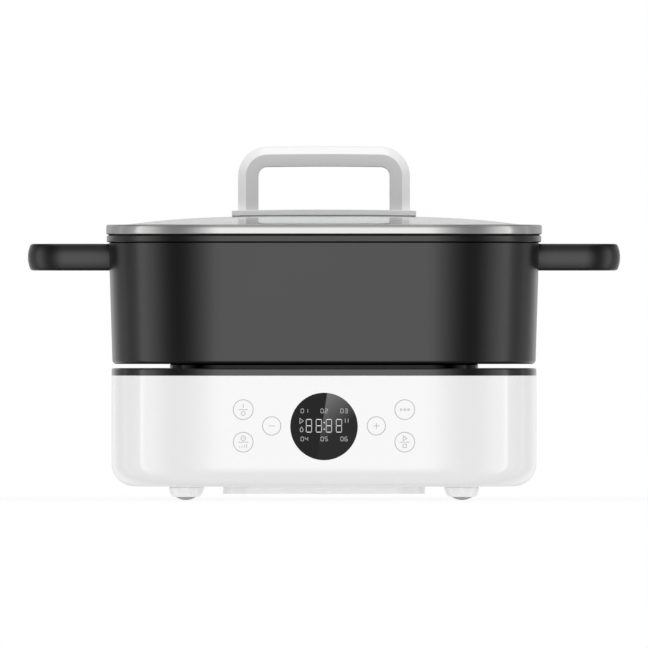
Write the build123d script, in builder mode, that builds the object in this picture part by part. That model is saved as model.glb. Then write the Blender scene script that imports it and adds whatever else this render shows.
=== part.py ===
from build123d import *
import math
import os

# Electric hot pot: a cast rounded-square pot with a glass lid, standing on a white induction base.
# Millimetres, +Z up, origin on the floor under the middle of the base, controls facing -Y.

os.makedirs("parts", exist_ok=True)

# ------------------------------------------------------------------ clearances
SEAT_GAP = 0.1  # pieces fitted by hand
THREAD_GAP = 0.05  # screw core to its hole
SHANK_GAP = 0.2  # screw shank to a plain hole
SHAFT_GAP = 0.05  # fan shaft to its sleeve bearing
BLADE_GAP = 1.0  # fan blades to the frame

# ------------------------------------------------------------------ base housing
BODY_WIDTH = 296.8
BODY_CORNER = 78.0
FOOT_HEIGHT = 9.5  # floor to the underside of the shell
SHELL_HEIGHT = 77.3
SHELL_WALL = 2.5
SHELL_BELLY = 16.0
COVER_HEIGHT = 5.0
COVER_PLATE = 3.5
COVER_EDGE = 1.0
LIP_DEPTH = 4.0
LIP_WALL = 2.0

HOB_WIDTH = 215.6
HOB_CORNER = 34.0
HOB_RISE = 3.1
HOB_RECESS = 0.9
HOB_LEDGE = 8.0
HOB_EDGE = 0.8

# feet, which hide the wells of the cover screws
FOOT_INSET = 11.5  # side of the hob glass to the middle of each foot
FOOT_RADIUS = 12.5
FOOT_DRAFT = 0.6
FOOT_ROLL = 1.6
FOOT_PEG = 8.0
PAD_RADIUS = 8.4
PAD_FLAT = 3.0
PAD_DROP = 2.0
PAD_DEPTH = 2.4

PILLAR_RADIUS = 5.5
PILLAR_TIP = 7.0  # pillar top to the underside of the cover plate
WELL_RADIUS = 3.7
WELL_ROOF = 9.0

SCREW_RADIUS = 1.45
SCREW_HEAD_RADIUS = 3.0
SCREW_HEAD = 2.2
SCREW_SPARE = 1.0  # screw tip to the end of its bore

# intake grille under the shell
PLINTH_WIDTH = 141.4
PLINTH_CORNER = 20.0
PLINTH_HEIGHT = 5.4
PLINTH_WALL = 2.0
PLINTH_SCREW_SPACING = 120.0
PLINTH_BOSS = 5.0
PLINTH_BITE = 8.0  # height of the bosses that take the plinth screws
GRILLE_RADIUS = 44.0
GRILLE_SLOT = 3.2
GRILLE_PITCH = 6.4
GRILLE_WEB = 3.0

# controls in the front wall
CONTROL_HEIGHT = 42.0  # display centre above the underside of the shell
DISPLAY_RADIUS = 23.4
DISPLAY_FLANGE = 2.0
DISPLAY_BACK = 1.2
KEY_INNER = 36.4  # plus and minus, from the middle
KEY_OUTER = 56.2
KEY_RISE = 11.3
KEY_PAD_RADIUS = 5.0
BOARD = 1.6
BOARD_GAP = 6.0  # front wall to the control board
CONTROL_MARGIN = 7.8  # outer keys to the screws of the control board
CONTROL_EDGE = 6.0  # those screws to the edge of the board
CONTROL_SCREW_HEIGHT = 36.0
BOSS_RADIUS = 3.0
MODULE_WIDTH = 38.0
MODULE_HEIGHT = 20.0
MODULE_DEPTH = 4.0

# power inlet and outlet louvres in the rear wall
INLET_HEIGHT = 27.5  # centre above the underside of the shell
INLET_WIDTH = 27.0
INLET_TALL = 19.4
INLET_CHAMFER = 4.0
INLET_WALL = 1.4
INLET_DEPTH = 20.0
SOCKET_DEPTH = 16.0
INLET_SINK = 0.2  # socket face behind the wall
INLET_FLANGE = 50.0
INLET_FLANGE_DEPTH = 2.5
INLET_SCREW_SPACING = 40.0
PIN_WIDTH = 2.0
PIN_TALL = 4.0
PIN_LENGTH = 14.0
PIN_SPREAD = 7.0
PIN_RISE = 2.0
PIN_TAG = 7.0
LOUVRE_WIDTH = 2.6
LOUVRE_TALL = 26.0
LOUVRE_PITCH = 6.2
LOUVRE_COUNT = 6
LOUVRE_PLACE = 48.0

# ------------------------------------------------------------------ inside the base
FAN_SIZE = 80.0
FAN_HEIGHT = 20.0
FAN_CORNER = 6.0
FAN_RADIUS = 38.5
FAN_SCREW_SPACING = 71.5
FAN_STANDOFF = 3.0
FAN_POST = 4.5
MOTOR_RADIUS = 15.0
MOTOR_PLATE = 3.0
STRUT_WIDTH = 4.5
BEARING_TUBE = 4.2
BEARING_RADIUS = 3.0
BEARING_LENGTH = 11.0
SHAFT_RADIUS = 1.5
HUB_RADIUS = 14.5
HUB_WALL = 1.5
HUB_FLOOR = 2.4  # fan frame bottom to the hub's underside
STATOR_RADIUS = 11.6
STATOR_HEIGHT = 9.0
STATOR_SLOTS = 6
BLADES = 7
BLADE_THICKNESS = 1.4
BLADE_ROOT_CHORD = 13.0
BLADE_TIP_CHORD = 23.0
BLADE_ROOT_PITCH = 48.0
BLADE_TIP_PITCH = 27.0

COIL_RADIUS = 88.0
COIL_INNER = 24.0
COIL_SPLIT = 53.0
COIL_SPLIT_GAP = 5.0
COIL_HEIGHT = 4.0
FORMER_EDGE = 3.0
FORMER_HEIGHT = 4.0
FORMER_BORE = 12.0
FORMER_SPOKES = 4
FORMER_WINDOW = 36.0
FORMER_EAR = 8.0
FORMER_POST_SPACING = 136.0
FORMER_POST_RADIUS = 4.0
FORMER_SCREW_LENGTH = 10.0
FERRITE_LENGTH = 50.0
FERRITE_WIDTH = 12.0
FERRITE_HEIGHT = 5.0
SHEET = 0.8
SHEET_HOLE = 9.0
SENSOR_RADIUS = 5.0
SENSOR_FLANGE = 2.5

POWER_BOARD_X = 87.0
POWER_BOARD_WIDTH = 82.0
POWER_BOARD_LENGTH = 110.0
POWER_BOARD_STANDOFF = 8.0
POWER_SCREW_INSET = 5.0
SINK_X = 66.0
SINK_WIDTH = 30.0
SINK_LENGTH = 84.0
SINK_BASE = 4.0
SINK_FIN = 1.6
SINK_FIN_HEIGHT = 22.0
SINK_FINS = 6
PART_X = 104.0  # capacitor and choke row
PART_Y = 26.0
CAPACITOR_WIDTH = 18.0
CAPACITOR_LENGTH = 32.0
CAPACITOR_HEIGHT = 26.0
CAPACITOR_EDGE = 0.8
CHOKE_RADIUS = 14.0
CHOKE_BORE = 6.5
CHOKE_HEIGHT = 13.0
SWITCH_DEPTH = 5.0
SWITCH_WIDTH = 16.0
SWITCH_HEIGHT = 20.0

# ------------------------------------------------------------------ pot
POT_WIDTH = 300.8  # across the wall right under the flange
POT_CORNER = 80.0
POT_HEIGHT = 89.6
POT_DRAFT = 1.75
POT_WALL = 3.0
POT_FLOOR = 4.5
POT_EDGE = 2.8
POT_INNER_EDGE = 9.0
FLANGE_HEIGHT = 4.5
FLANGE_LIP = 1.4
FLANGE_EDGE = 0.8
DISC_RADIUS = 94.0
DISC_THICKNESS = 1.0

LOOP_DROP = 14.9  # pot rim to the middle of the side loops
LOOP_REACH = 57.2  # pot wall to the tip of the loop
LOOP_WIDTH = 116.0
LOOP_BAR = 16.0
LOOP_THICKNESS = 18.6
LOOP_CORNER = 25.5
LOOP_EDGE = 5.0
LUG_LENGTH = 13.0
LUG_WIDTH = 8.0
LUG_HEIGHT = 9.6
LUG_SCREW = 8.0  # wall to the screw
LOOP_SCREW_RADIUS = 1.9
LOOP_SCREW_HEAD = 3.4
LOOP_SCREW_SINK = 2.4

# ------------------------------------------------------------------ lid
SEAL_HEIGHT = 1.1
SEAL_INSET = 1.6
SEAL_WIDTH = 6.0
RIM_OVERHANG = 0.4
RIM_HEIGHT = 6.5
RIM_SHEET = 0.8
RIM_ROLL = 0.75
RIM_TURN = 8.6  # width of the lower web
RIM_LIP = 4.2
RIM_SKIRT = 7.0
GLASS_GAP = 0.06
GLASS_THICKNESS = 3.4
GLASS_RISE = 8.6
GLASS_POWER = 3.6
GLASS_SHARE = (1.0, 0.93, 0.82, 0.66, 0.45, 0.18)
GLASS_FOOT = 1.2  # flat foot of the edge
GLASS_SAG = 0.45  # fall of the glass at the handle screws

HANDLE_SPAN = 120.5
HANDLE_HEIGHT = 44.4
HANDLE_CROWN = 0.6
HANDLE_BAR = 14.3
HANDLE_DEPTH = 26.0
HANDLE_BEVEL = 5.6  # height of the bevel
HANDLE_BEVEL_DEPTH = 8.0  # its depth from the front face
HANDLE_BEND = 13.4
PLATE_LENGTH = 129.3
PLATE_DEPTH = 32.0
PLATE_HEIGHT = 4.6
PLATE_CROWN = 0.8
PLATE_CHAMFER = 5.3
PLATE_SEAT = 0.5  # depth of the boss that centres each leg
LID_SCREW_RADIUS = 2.4
LID_SCREW_HEAD = 4.6
LID_SCREW_HEAD_HEIGHT = 2.6
LID_SCREW_BITE = 9.0
GLASS_HOLE = 4.0
SEAT_RADIUS = 8.5
SEAT_THICKNESS = 1.6
WASHER_THICKNESS = 1.0
VENT_PLACE = 62.0
VENT_HOLE = 1.8
VENT_RADIUS = 3.5
VENT_FLANGE = 6.0
VENT_LIP = 1.0
VENT_SAG = 0.5

# ------------------------------------------------------------------ levels and widths that follow
shell_bottom = FOOT_HEIGHT
shell_floor = shell_bottom + SHELL_WALL
shell_top = shell_bottom + SHELL_HEIGHT
cover_top = shell_top + COVER_HEIGHT
cover_ceiling = cover_top - COVER_PLATE
foot_spacing = HOB_WIDTH - 2 * FOOT_INSET
hob_top = cover_top + HOB_RISE
hob_bottom = cover_top - HOB_RECESS
half_body = BODY_WIDTH / 2

pot_bottom = hob_top
pot_rim = pot_bottom + POT_HEIGHT
flange_bottom = pot_rim - FLANGE_HEIGHT
draft_slope = math.tan(math.radians(POT_DRAFT))
wall_rise = flange_bottom - pot_bottom
bottom_inset = wall_rise * draft_slope

rim_bottom = pot_rim + SEAL_HEIGHT
rim_half = POT_WIDTH / 2 + FLANGE_LIP + RIM_OVERHANG
rim_corner = POT_CORNER + FLANGE_LIP + RIM_OVERHANG
glass_half = rim_half - RIM_SHEET - RIM_ROLL
glass_edge = rim_bottom + RIM_SHEET + GLASS_GAP
glass_apex = glass_edge + GLASS_THICKNESS + GLASS_RISE
glass_under = glass_apex - GLASS_THICKNESS


def rounded_square(half, corner):
    """A rounded square about the middle of the sketch, by its half-width and corner radius."""
    return RectangleRounded(2 * half, 2 * half, corner)


def upright(x, y):
    """The vertical sketch plane facing -Y whose origin stands at (x, y) on the floor."""
    return Plane(origin=(x, y, 0), x_dir=(1, 0, 0), z_dir=(0, -1, 0))


def facing_front(distance):
    """The vertical sketch plane facing -Y, this far in front of the middle."""
    return Plane.XZ.offset(distance)


# ================================================================== base shell
control_z = shell_bottom + CONTROL_HEIGHT
inlet_z = shell_bottom + INLET_HEIGHT
pillar_top = cover_ceiling - PILLAR_TIP
well_top = pillar_top - WELL_ROOF
former_bottom = hob_bottom - SHEET - COIL_HEIGHT - FORMER_HEIGHT
power_board_bottom = shell_floor + POWER_BOARD_STANDOFF
power_screw_x = POWER_BOARD_WIDTH - 2 * POWER_SCREW_INSET
power_screw_y = POWER_BOARD_LENGTH - 2 * POWER_SCREW_INSET
board_face = half_body - SHELL_WALL - BOARD_GAP
control_screw_width = 2 * (KEY_OUTER + CONTROL_MARGIN)
screw_core = SCREW_RADIUS + THREAD_GAP
screw_hole = SCREW_RADIUS + SHANK_GAP

with BuildPart() as base_shell:
    with BuildSketch(Plane.XY.offset(shell_bottom)):
        rounded_square(half_body, BODY_CORNER)
    extrude(amount=SHELL_HEIGHT)
    fillet(base_shell.edges().group_by(Axis.Z)[0], radius=SHELL_BELLY)
    offset(amount=-SHELL_WALL, openings=base_shell.faces().sort_by(Axis.Z)[-1])
    # pillars that carry the cover, with screw wells from below
    with BuildSketch(Plane.XY.offset(shell_floor)):
        with GridLocations(foot_spacing, foot_spacing, 2, 2):
            Circle(PILLAR_RADIUS)
    extrude(amount=pillar_top - shell_floor)
    with BuildSketch(Plane.XY.offset(shell_bottom)):
        with GridLocations(foot_spacing, foot_spacing, 2, 2):
            Circle(WELL_RADIUS)
    extrude(amount=well_top - shell_bottom, mode=Mode.SUBTRACT)
    with BuildSketch(Plane.XY.offset(well_top)):
        with GridLocations(foot_spacing, foot_spacing, 2, 2):
            Circle(screw_hole)
    extrude(amount=pillar_top - well_top, mode=Mode.SUBTRACT)
    # posts under the coil former
    with BuildSketch(Plane.XY.offset(shell_floor)):
        with GridLocations(FORMER_POST_SPACING, FORMER_POST_SPACING, 2, 2):
            Circle(FORMER_POST_RADIUS)
            Circle(screw_core, mode=Mode.SUBTRACT)
    extrude(amount=former_bottom - shell_floor)
    # posts under the fan
    with BuildSketch(Plane.XY.offset(shell_floor)):
        with GridLocations(FAN_SCREW_SPACING, FAN_SCREW_SPACING, 2, 2):
            Circle(FAN_POST)
            Circle(screw_core, mode=Mode.SUBTRACT)
    extrude(amount=FAN_STANDOFF)
    # posts under the power board
    with BuildSketch(Plane.XY.offset(shell_floor)):
        with Locations((POWER_BOARD_X, 0)):
            with GridLocations(power_screw_x, power_screw_y, 2, 2):
                Circle(BOSS_RADIUS)
                Circle(screw_core, mode=Mode.SUBTRACT)
    extrude(amount=POWER_BOARD_STANDOFF)
    # bosses for the plinth screws
    with BuildSketch(Plane.XY.offset(shell_bottom)):
        with GridLocations(PLINTH_SCREW_SPACING, PLINTH_SCREW_SPACING, 2, 2):
            Circle(BOSS_RADIUS)
    extrude(amount=PLINTH_BITE)
    with BuildSketch(Plane.XY.offset(shell_bottom)):
        with GridLocations(PLINTH_SCREW_SPACING, PLINTH_SCREW_SPACING, 2, 2):
            Circle(screw_core)
    extrude(amount=PLINTH_BITE, mode=Mode.SUBTRACT)
    # air intake under the fan
    with BuildSketch(Plane.XY.offset(shell_bottom)):
        Circle(FAN_RADIUS)
    extrude(amount=SHELL_WALL, mode=Mode.SUBTRACT)
    # bosses of the control board on the front wall
    with BuildSketch(facing_front(board_face)):
        with Locations((0, control_z)):
            with GridLocations(control_screw_width, CONTROL_SCREW_HEIGHT, 2, 2):
                Circle(BOSS_RADIUS)
                Circle(screw_core, mode=Mode.SUBTRACT)
    extrude(amount=BOARD_GAP)
    # display hole
    with BuildSketch(facing_front(half_body)):
        with Locations((0, control_z)):
            Circle(DISPLAY_RADIUS + SEAT_GAP)
    extrude(amount=-2 * SHELL_WALL, mode=Mode.SUBTRACT)
    # inlet opening, its screw holes and the outlet louvres
    with BuildSketch(facing_front(-half_body)):
        with Locations((0, inlet_z)):
            Rectangle(INLET_WIDTH + 2 * SEAT_GAP, INLET_TALL + 2 * SEAT_GAP)
            with GridLocations(INLET_SCREW_SPACING, 1, 2, 1):
                Circle(screw_hole)
        for side in (-1, 1):
            with Locations((side * LOUVRE_PLACE, inlet_z)):
                with GridLocations(LOUVRE_PITCH, 1, LOUVRE_COUNT, 1):
                    Rectangle(LOUVRE_WIDTH, LOUVRE_TALL)
    extrude(amount=2 * SHELL_WALL, mode=Mode.SUBTRACT)
base_shell.part.label = "base_shell"
export_step(base_shell.part, "parts/base_shell.step")

# ================================================================== top cover
lip_half = half_body - SHELL_WALL - SEAT_GAP
lip_corner = BODY_CORNER - SHELL_WALL - SEAT_GAP
opening_half = HOB_WIDTH / 2 - HOB_LEDGE

with BuildPart() as top_cover:
    with BuildSketch(Plane.XY.offset(shell_top)):
        rounded_square(half_body, BODY_CORNER)
    extrude(amount=COVER_HEIGHT)
    fillet(top_cover.edges().group_by(Axis.Z)[-1], radius=COVER_EDGE)
    with BuildSketch(Plane.XY.offset(shell_top - LIP_DEPTH)):
        rounded_square(lip_half, lip_corner)
    extrude(amount=LIP_DEPTH)
    with BuildSketch(Plane.XY.offset(shell_top - LIP_DEPTH)):
        rounded_square(lip_half - LIP_WALL, lip_corner - LIP_WALL)
    extrude(amount=LIP_DEPTH + COVER_HEIGHT - COVER_PLATE, mode=Mode.SUBTRACT)
    # screw bosses down to the pillars
    with BuildSketch(Plane.XY.offset(pillar_top)):
        with GridLocations(foot_spacing, foot_spacing, 2, 2):
            Circle(FORMER_POST_RADIUS)
            Circle(screw_core, mode=Mode.SUBTRACT)
    extrude(amount=PILLAR_TIP)
    # recess and ledge of the hob glass
    with BuildSketch(Plane.XY.offset(hob_bottom)):
        rounded_square(HOB_WIDTH / 2 + SEAT_GAP, HOB_CORNER + SEAT_GAP)
    extrude(amount=HOB_RECESS, mode=Mode.SUBTRACT)
    with BuildSketch(Plane.XY.offset(cover_ceiling)):
        rounded_square(opening_half, HOB_CORNER - HOB_LEDGE)
    extrude(amount=COVER_PLATE, mode=Mode.SUBTRACT)
top_cover.part.label = "top_cover"
export_step(top_cover.part, "parts/top_cover.step")

# ================================================================== hob glass
with BuildPart() as hob_glass:
    with BuildSketch(Plane.XY.offset(hob_bottom)):
        rounded_square(HOB_WIDTH / 2, HOB_CORNER)
    extrude(amount=hob_top - hob_bottom)
    chamfer(hob_glass.edges().group_by(Axis.Z)[-1], length=HOB_EDGE)
hob_glass.part.label = "hob_glass"
export_step(hob_glass.part, "parts/hob_glass.step")

# ================================================================== plinth with the intake grille
plinth_bottom = shell_bottom - PLINTH_HEIGHT
slot_rows = int(GRILLE_RADIUS / GRILLE_PITCH)

with BuildPart() as plinth:
    with BuildSketch(Plane.XY.offset(plinth_bottom)):
        rounded_square(PLINTH_WIDTH / 2, PLINTH_CORNER)
    extrude(amount=PLINTH_HEIGHT)
    with BuildSketch(Plane.XY.offset(plinth_bottom + PLINTH_WALL)):
        rounded_square(PLINTH_WIDTH / 2 - PLINTH_WALL, PLINTH_CORNER - PLINTH_WALL)
        with GridLocations(PLINTH_SCREW_SPACING, PLINTH_SCREW_SPACING, 2, 2):
            Circle(PLINTH_BOSS, mode=Mode.SUBTRACT)
    extrude(amount=PLINTH_HEIGHT - PLINTH_WALL, mode=Mode.SUBTRACT)
    # slots that fill a circle, with a web down the middle
    with BuildSketch(Plane.XY.offset(plinth_bottom)):
        for row in range(-slot_rows, slot_rows + 1):
            slot_y = row * GRILLE_PITCH
            chord = math.sqrt(GRILLE_RADIUS**2 - slot_y**2)
            slot_length = max(chord - GRILLE_WEB / 2, GRILLE_SLOT)
            for side in (-1, 1):
                with Locations((side * (GRILLE_WEB + slot_length) / 2, slot_y)):
                    Rectangle(slot_length, GRILLE_SLOT)
        with GridLocations(PLINTH_SCREW_SPACING, PLINTH_SCREW_SPACING, 2, 2):
            Circle(screw_hole)
    extrude(amount=PLINTH_HEIGHT, mode=Mode.SUBTRACT)
    # head recesses
    with BuildSketch(Plane.XY.offset(plinth_bottom)):
        with GridLocations(PLINTH_SCREW_SPACING, PLINTH_SCREW_SPACING, 2, 2):
            Circle(SCREW_HEAD_RADIUS + SHANK_GAP)
    extrude(amount=SCREW_HEAD + SEAT_GAP, mode=Mode.SUBTRACT)
plinth.part.label = "plinth"
export_step(plinth.part, "parts/plinth.step")

# ================================================================== feet
foot_places = {
    "front_left": (-foot_spacing / 2, -foot_spacing / 2),
    "front_right": (foot_spacing / 2, -foot_spacing / 2),
    "rear_left": (-foot_spacing / 2, foot_spacing / 2),
    "rear_right": (foot_spacing / 2, foot_spacing / 2),
}
pad_top = PAD_DROP + PAD_DEPTH
peg_radius = WELL_RADIUS - SEAT_GAP

for corner_name, (foot_x, foot_y) in foot_places.items():
    foot_axis = Axis((foot_x, foot_y, 0), (0, 0, 1))

    with BuildPart() as foot_cup:
        with BuildSketch(upright(foot_x, foot_y)):
            with BuildLine():
                Polyline(
                    (0, pad_top),
                    (PAD_RADIUS + SEAT_GAP, pad_top),
                    (PAD_RADIUS + SEAT_GAP, PAD_DROP),
                    (FOOT_RADIUS - FOOT_DRAFT - FOOT_ROLL, PAD_DROP),
                    (FOOT_RADIUS - FOOT_DRAFT, PAD_DROP + FOOT_ROLL),
                    (FOOT_RADIUS, shell_bottom),
                    (peg_radius, shell_bottom),
                    (peg_radius, shell_bottom + FOOT_PEG),
                    (0, shell_bottom + FOOT_PEG),
                    close=True,
                )
            make_face()
        revolve(axis=foot_axis)
    foot_cup.part.label = f"foot_cup_{corner_name}"
    export_step(foot_cup.part, f"parts/foot_cup_{corner_name}.step")

    with BuildPart() as foot_pad:
        with BuildSketch(upright(foot_x, foot_y)):
            with BuildLine():
                Line((0, 0), (PAD_FLAT, 0))
                TangentArc((PAD_FLAT, 0), (PAD_RADIUS, PAD_DROP), tangent=(1, 0))
                Polyline((PAD_RADIUS, PAD_DROP), (PAD_RADIUS, pad_top), (0, pad_top), (0, 0))
            make_face()
        revolve(axis=foot_axis)
    foot_pad.part.label = f"foot_pad_{corner_name}"
    export_step(foot_pad.part, f"parts/foot_pad_{corner_name}.step")

# ================================================================== display and touch controls
with BuildPart() as display_window:
    with BuildSketch(facing_front(half_body)):
        with Locations((0, control_z)):
            Circle(DISPLAY_RADIUS)
    extrude(amount=-SHELL_WALL)
    with BuildSketch(facing_front(half_body - SHELL_WALL)):
        with Locations((0, control_z)):
            Circle(DISPLAY_RADIUS + DISPLAY_FLANGE)
    extrude(amount=-DISPLAY_BACK)
display_window.part.label = "display_window"
export_step(display_window.part, "parts/display_window.step")

with BuildPart() as control_board:
    with BuildSketch(facing_front(board_face)):
        with Locations((0, control_z)):
            Rectangle(control_screw_width + 2 * CONTROL_EDGE, CONTROL_SCREW_HEIGHT + 2 * CONTROL_EDGE)
            with GridLocations(control_screw_width, CONTROL_SCREW_HEIGHT, 2, 2):
                Circle(screw_hole, mode=Mode.SUBTRACT)
    extrude(amount=-BOARD)
control_board.part.label = "control_board"
export_step(control_board.part, "parts/control_board.step")

with BuildPart() as display_module:
    with BuildSketch(facing_front(board_face)):
        with Locations((0, control_z)):
            Rectangle(MODULE_WIDTH, MODULE_HEIGHT)
    extrude(amount=MODULE_DEPTH)
display_module.part.label = "display_module"
export_step(display_module.part, "parts/display_module.step")

# keys on the left from the outside in, then the same on the right
key_places = [
    (-KEY_OUTER, KEY_RISE),
    (-KEY_OUTER, -KEY_RISE),
    (-KEY_INNER, 0),
    (KEY_INNER, 0),
    (KEY_OUTER, KEY_RISE),
    (KEY_OUTER, -KEY_RISE),
]
with BuildPart() as touch_pads:
    with BuildSketch(facing_front(board_face)):
        with Locations(*[(key_x, control_z + key_z) for key_x, key_z in key_places]):
            Circle(KEY_PAD_RADIUS)
    extrude(amount=BOARD_GAP)
touch_pads.part.label = "touch_pads"
export_step(touch_pads.part, "parts/touch_pads.step")

# ================================================================== power inlet
inlet_face = half_body - INLET_SINK
flange_face = half_body - SHELL_WALL

with BuildPart() as inlet_socket:
    with BuildSketch(facing_front(-inlet_face)):
        with Locations((0, inlet_z)):
            Rectangle(INLET_WIDTH, INLET_TALL)
    extrude(amount=INLET_DEPTH)
    with BuildSketch(facing_front(-flange_face)):
        with Locations((0, inlet_z)):
            Rectangle(INLET_FLANGE, INLET_TALL)
            with GridLocations(INLET_SCREW_SPACING, 1, 2, 1):
                Circle(screw_core, mode=Mode.SUBTRACT)
    extrude(amount=INLET_FLANGE_DEPTH)
    # cavity with its two cut corners
    with BuildSketch(facing_front(-inlet_face)) as cavity:
        with Locations((0, inlet_z)):
            Rectangle(INLET_WIDTH - 2 * INLET_WALL, INLET_TALL - 2 * INLET_WALL)
        chamfer(cavity.vertices().group_by(Axis.Z)[-1], length=INLET_CHAMFER)
    extrude(amount=SOCKET_DEPTH, mode=Mode.SUBTRACT)
    # slots the pins pass through
    with BuildSketch(facing_front(-inlet_face)):
        with Locations((0, inlet_z)):
            with Locations((-PIN_SPREAD, -PIN_RISE), (PIN_SPREAD, -PIN_RISE), (0, PIN_RISE)):
                Rectangle(PIN_WIDTH, PIN_TALL)
    extrude(amount=INLET_DEPTH, mode=Mode.SUBTRACT)
inlet_socket.part.label = "inlet_socket"
export_step(inlet_socket.part, "parts/inlet_socket.step")

with BuildPart() as inlet_pins:
    with BuildSketch(facing_front(-(inlet_face - SOCKET_DEPTH + PIN_LENGTH))):
        with Locations((0, inlet_z)):
            with Locations((-PIN_SPREAD, -PIN_RISE), (PIN_SPREAD, -PIN_RISE), (0, PIN_RISE)):
                Rectangle(PIN_WIDTH, PIN_TALL)
    extrude(amount=PIN_LENGTH + INLET_DEPTH - SOCKET_DEPTH + PIN_TAG)
inlet_pins.part.label = "inlet_pins"
export_step(inlet_pins.part, "parts/inlet_pins.step")

with BuildPart() as inlet_screws:
    with BuildSketch(facing_front(-half_body)):
        with Locations((0, inlet_z)):
            with GridLocations(INLET_SCREW_SPACING, 1, 2, 1):
                Circle(SCREW_RADIUS)
    extrude(amount=SHELL_WALL + 2 * INLET_FLANGE_DEPTH)
inlet_screws.part.label = "inlet_screws"
export_step(inlet_screws.part, "parts/inlet_screws.step")

# ================================================================== cooling fan
fan_bottom = shell_floor + FAN_STANDOFF
fan_top = fan_bottom + FAN_HEIGHT
motor_under = fan_top - MOTOR_PLATE
hub_bottom = fan_bottom + HUB_FLOOR
hub_inside = hub_bottom + HUB_WALL
bearing_bottom = motor_under - BEARING_LENGTH
stator_top = motor_under - HUB_WALL
blade_middle = fan_bottom + FAN_HEIGHT / 2 - HUB_WALL

with BuildPart() as fan_frame:
    with BuildSketch(Plane.XY.offset(fan_bottom)):
        RectangleRounded(FAN_SIZE, FAN_SIZE, FAN_CORNER)
        Circle(FAN_RADIUS, mode=Mode.SUBTRACT)
        with GridLocations(FAN_SCREW_SPACING, FAN_SCREW_SPACING, 2, 2):
            Circle(screw_hole, mode=Mode.SUBTRACT)
    extrude(amount=FAN_HEIGHT)
    with BuildSketch(Plane.XY.offset(motor_under)):
        Circle(MOTOR_RADIUS)
        for strut_angle in (45, 135):
            Rectangle(2 * FAN_RADIUS + STRUT_WIDTH, STRUT_WIDTH, rotation=strut_angle)
    extrude(amount=MOTOR_PLATE)
    with BuildSketch(Plane.XY.offset(bearing_bottom)):
        Circle(BEARING_TUBE)
        Circle(BEARING_RADIUS, mode=Mode.SUBTRACT)
    extrude(amount=BEARING_LENGTH)
fan_frame.part.label = "fan_frame"
export_step(fan_frame.part, "parts/fan_frame.step")

with BuildPart() as fan_bearing:
    with BuildSketch(Plane.XY.offset(bearing_bottom)):
        Circle(BEARING_RADIUS)
        Circle(SHAFT_RADIUS + SHAFT_GAP, mode=Mode.SUBTRACT)
    extrude(amount=BEARING_LENGTH)
fan_bearing.part.label = "fan_bearing"
export_step(fan_bearing.part, "parts/fan_bearing.step")

with BuildPart() as fan_stator:
    with BuildSketch(Plane.XY.offset(stator_top - STATOR_HEIGHT)):
        Circle(STATOR_RADIUS)
        Circle(BEARING_TUBE + THREAD_GAP, mode=Mode.SUBTRACT)
        with PolarLocations(STATOR_RADIUS, STATOR_SLOTS):
            Circle(BEARING_TUBE / 2, mode=Mode.SUBTRACT)
    extrude(amount=STATOR_HEIGHT)
fan_stator.part.label = "fan_stator"
export_step(fan_stator.part, "parts/fan_stator.step")

# one blade, twisted from root to tip and trimmed round
blade_reach = FAN_RADIUS - BLADE_GAP
blade_root = HUB_RADIUS - HUB_WALL / 2
with BuildPart() as blade:
    with BuildSketch(Plane(origin=(blade_root, 0, blade_middle), x_dir=(0, 1, 0), z_dir=(1, 0, 0))):
        Rectangle(BLADE_ROOT_CHORD, BLADE_THICKNESS, rotation=BLADE_ROOT_PITCH)
    with BuildSketch(Plane(origin=(FAN_RADIUS, 0, blade_middle), x_dir=(0, 1, 0), z_dir=(1, 0, 0))):
        Rectangle(BLADE_TIP_CHORD, BLADE_THICKNESS, rotation=BLADE_TIP_PITCH)
    loft()
    with BuildSketch(Plane.XY.offset(fan_bottom)):
        Circle(blade_reach)
        Circle(blade_root, mode=Mode.SUBTRACT)
    extrude(amount=FAN_HEIGHT, mode=Mode.INTERSECT)

with BuildPart() as fan_rotor:
    with BuildSketch(Plane.XY.offset(hub_bottom)):
        Circle(HUB_RADIUS)
    extrude(amount=stator_top - hub_bottom)
    with BuildSketch(Plane.XY.offset(hub_inside)):
        Circle(HUB_RADIUS - HUB_WALL)
        Circle(BEARING_TUBE, mode=Mode.SUBTRACT)
    extrude(amount=stator_top - hub_inside, mode=Mode.SUBTRACT)
    with BuildSketch(Plane.XY.offset(bearing_bottom - HUB_WALL / 2)):
        Circle(BEARING_TUBE)
    extrude(amount=stator_top - bearing_bottom + HUB_WALL, mode=Mode.SUBTRACT)
    with PolarLocations(0, BLADES):
        add(blade.part)
    with BuildSketch(Plane.XY.offset(hub_bottom)):
        Circle(SHAFT_RADIUS)
    extrude(amount=bearing_bottom - hub_bottom, mode=Mode.SUBTRACT)
fan_rotor.part.label = "fan_rotor"
export_step(fan_rotor.part, "parts/fan_rotor.step")

with BuildPart() as fan_shaft:
    with BuildSketch(Plane.XY.offset(hub_bottom)):
        Circle(SHAFT_RADIUS)
    extrude(amount=motor_under - hub_bottom - HUB_WALL / 2)
fan_shaft.part.label = "fan_shaft"
export_step(fan_shaft.part, "parts/fan_shaft.step")

# ================================================================== induction coil
former_top = former_bottom + FORMER_HEIGHT
coil_top = former_top + COIL_HEIGHT
spoke_turn = 360 / FORMER_SPOKES
window_middle = (COIL_RADIUS + FORMER_BORE) / 2

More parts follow.
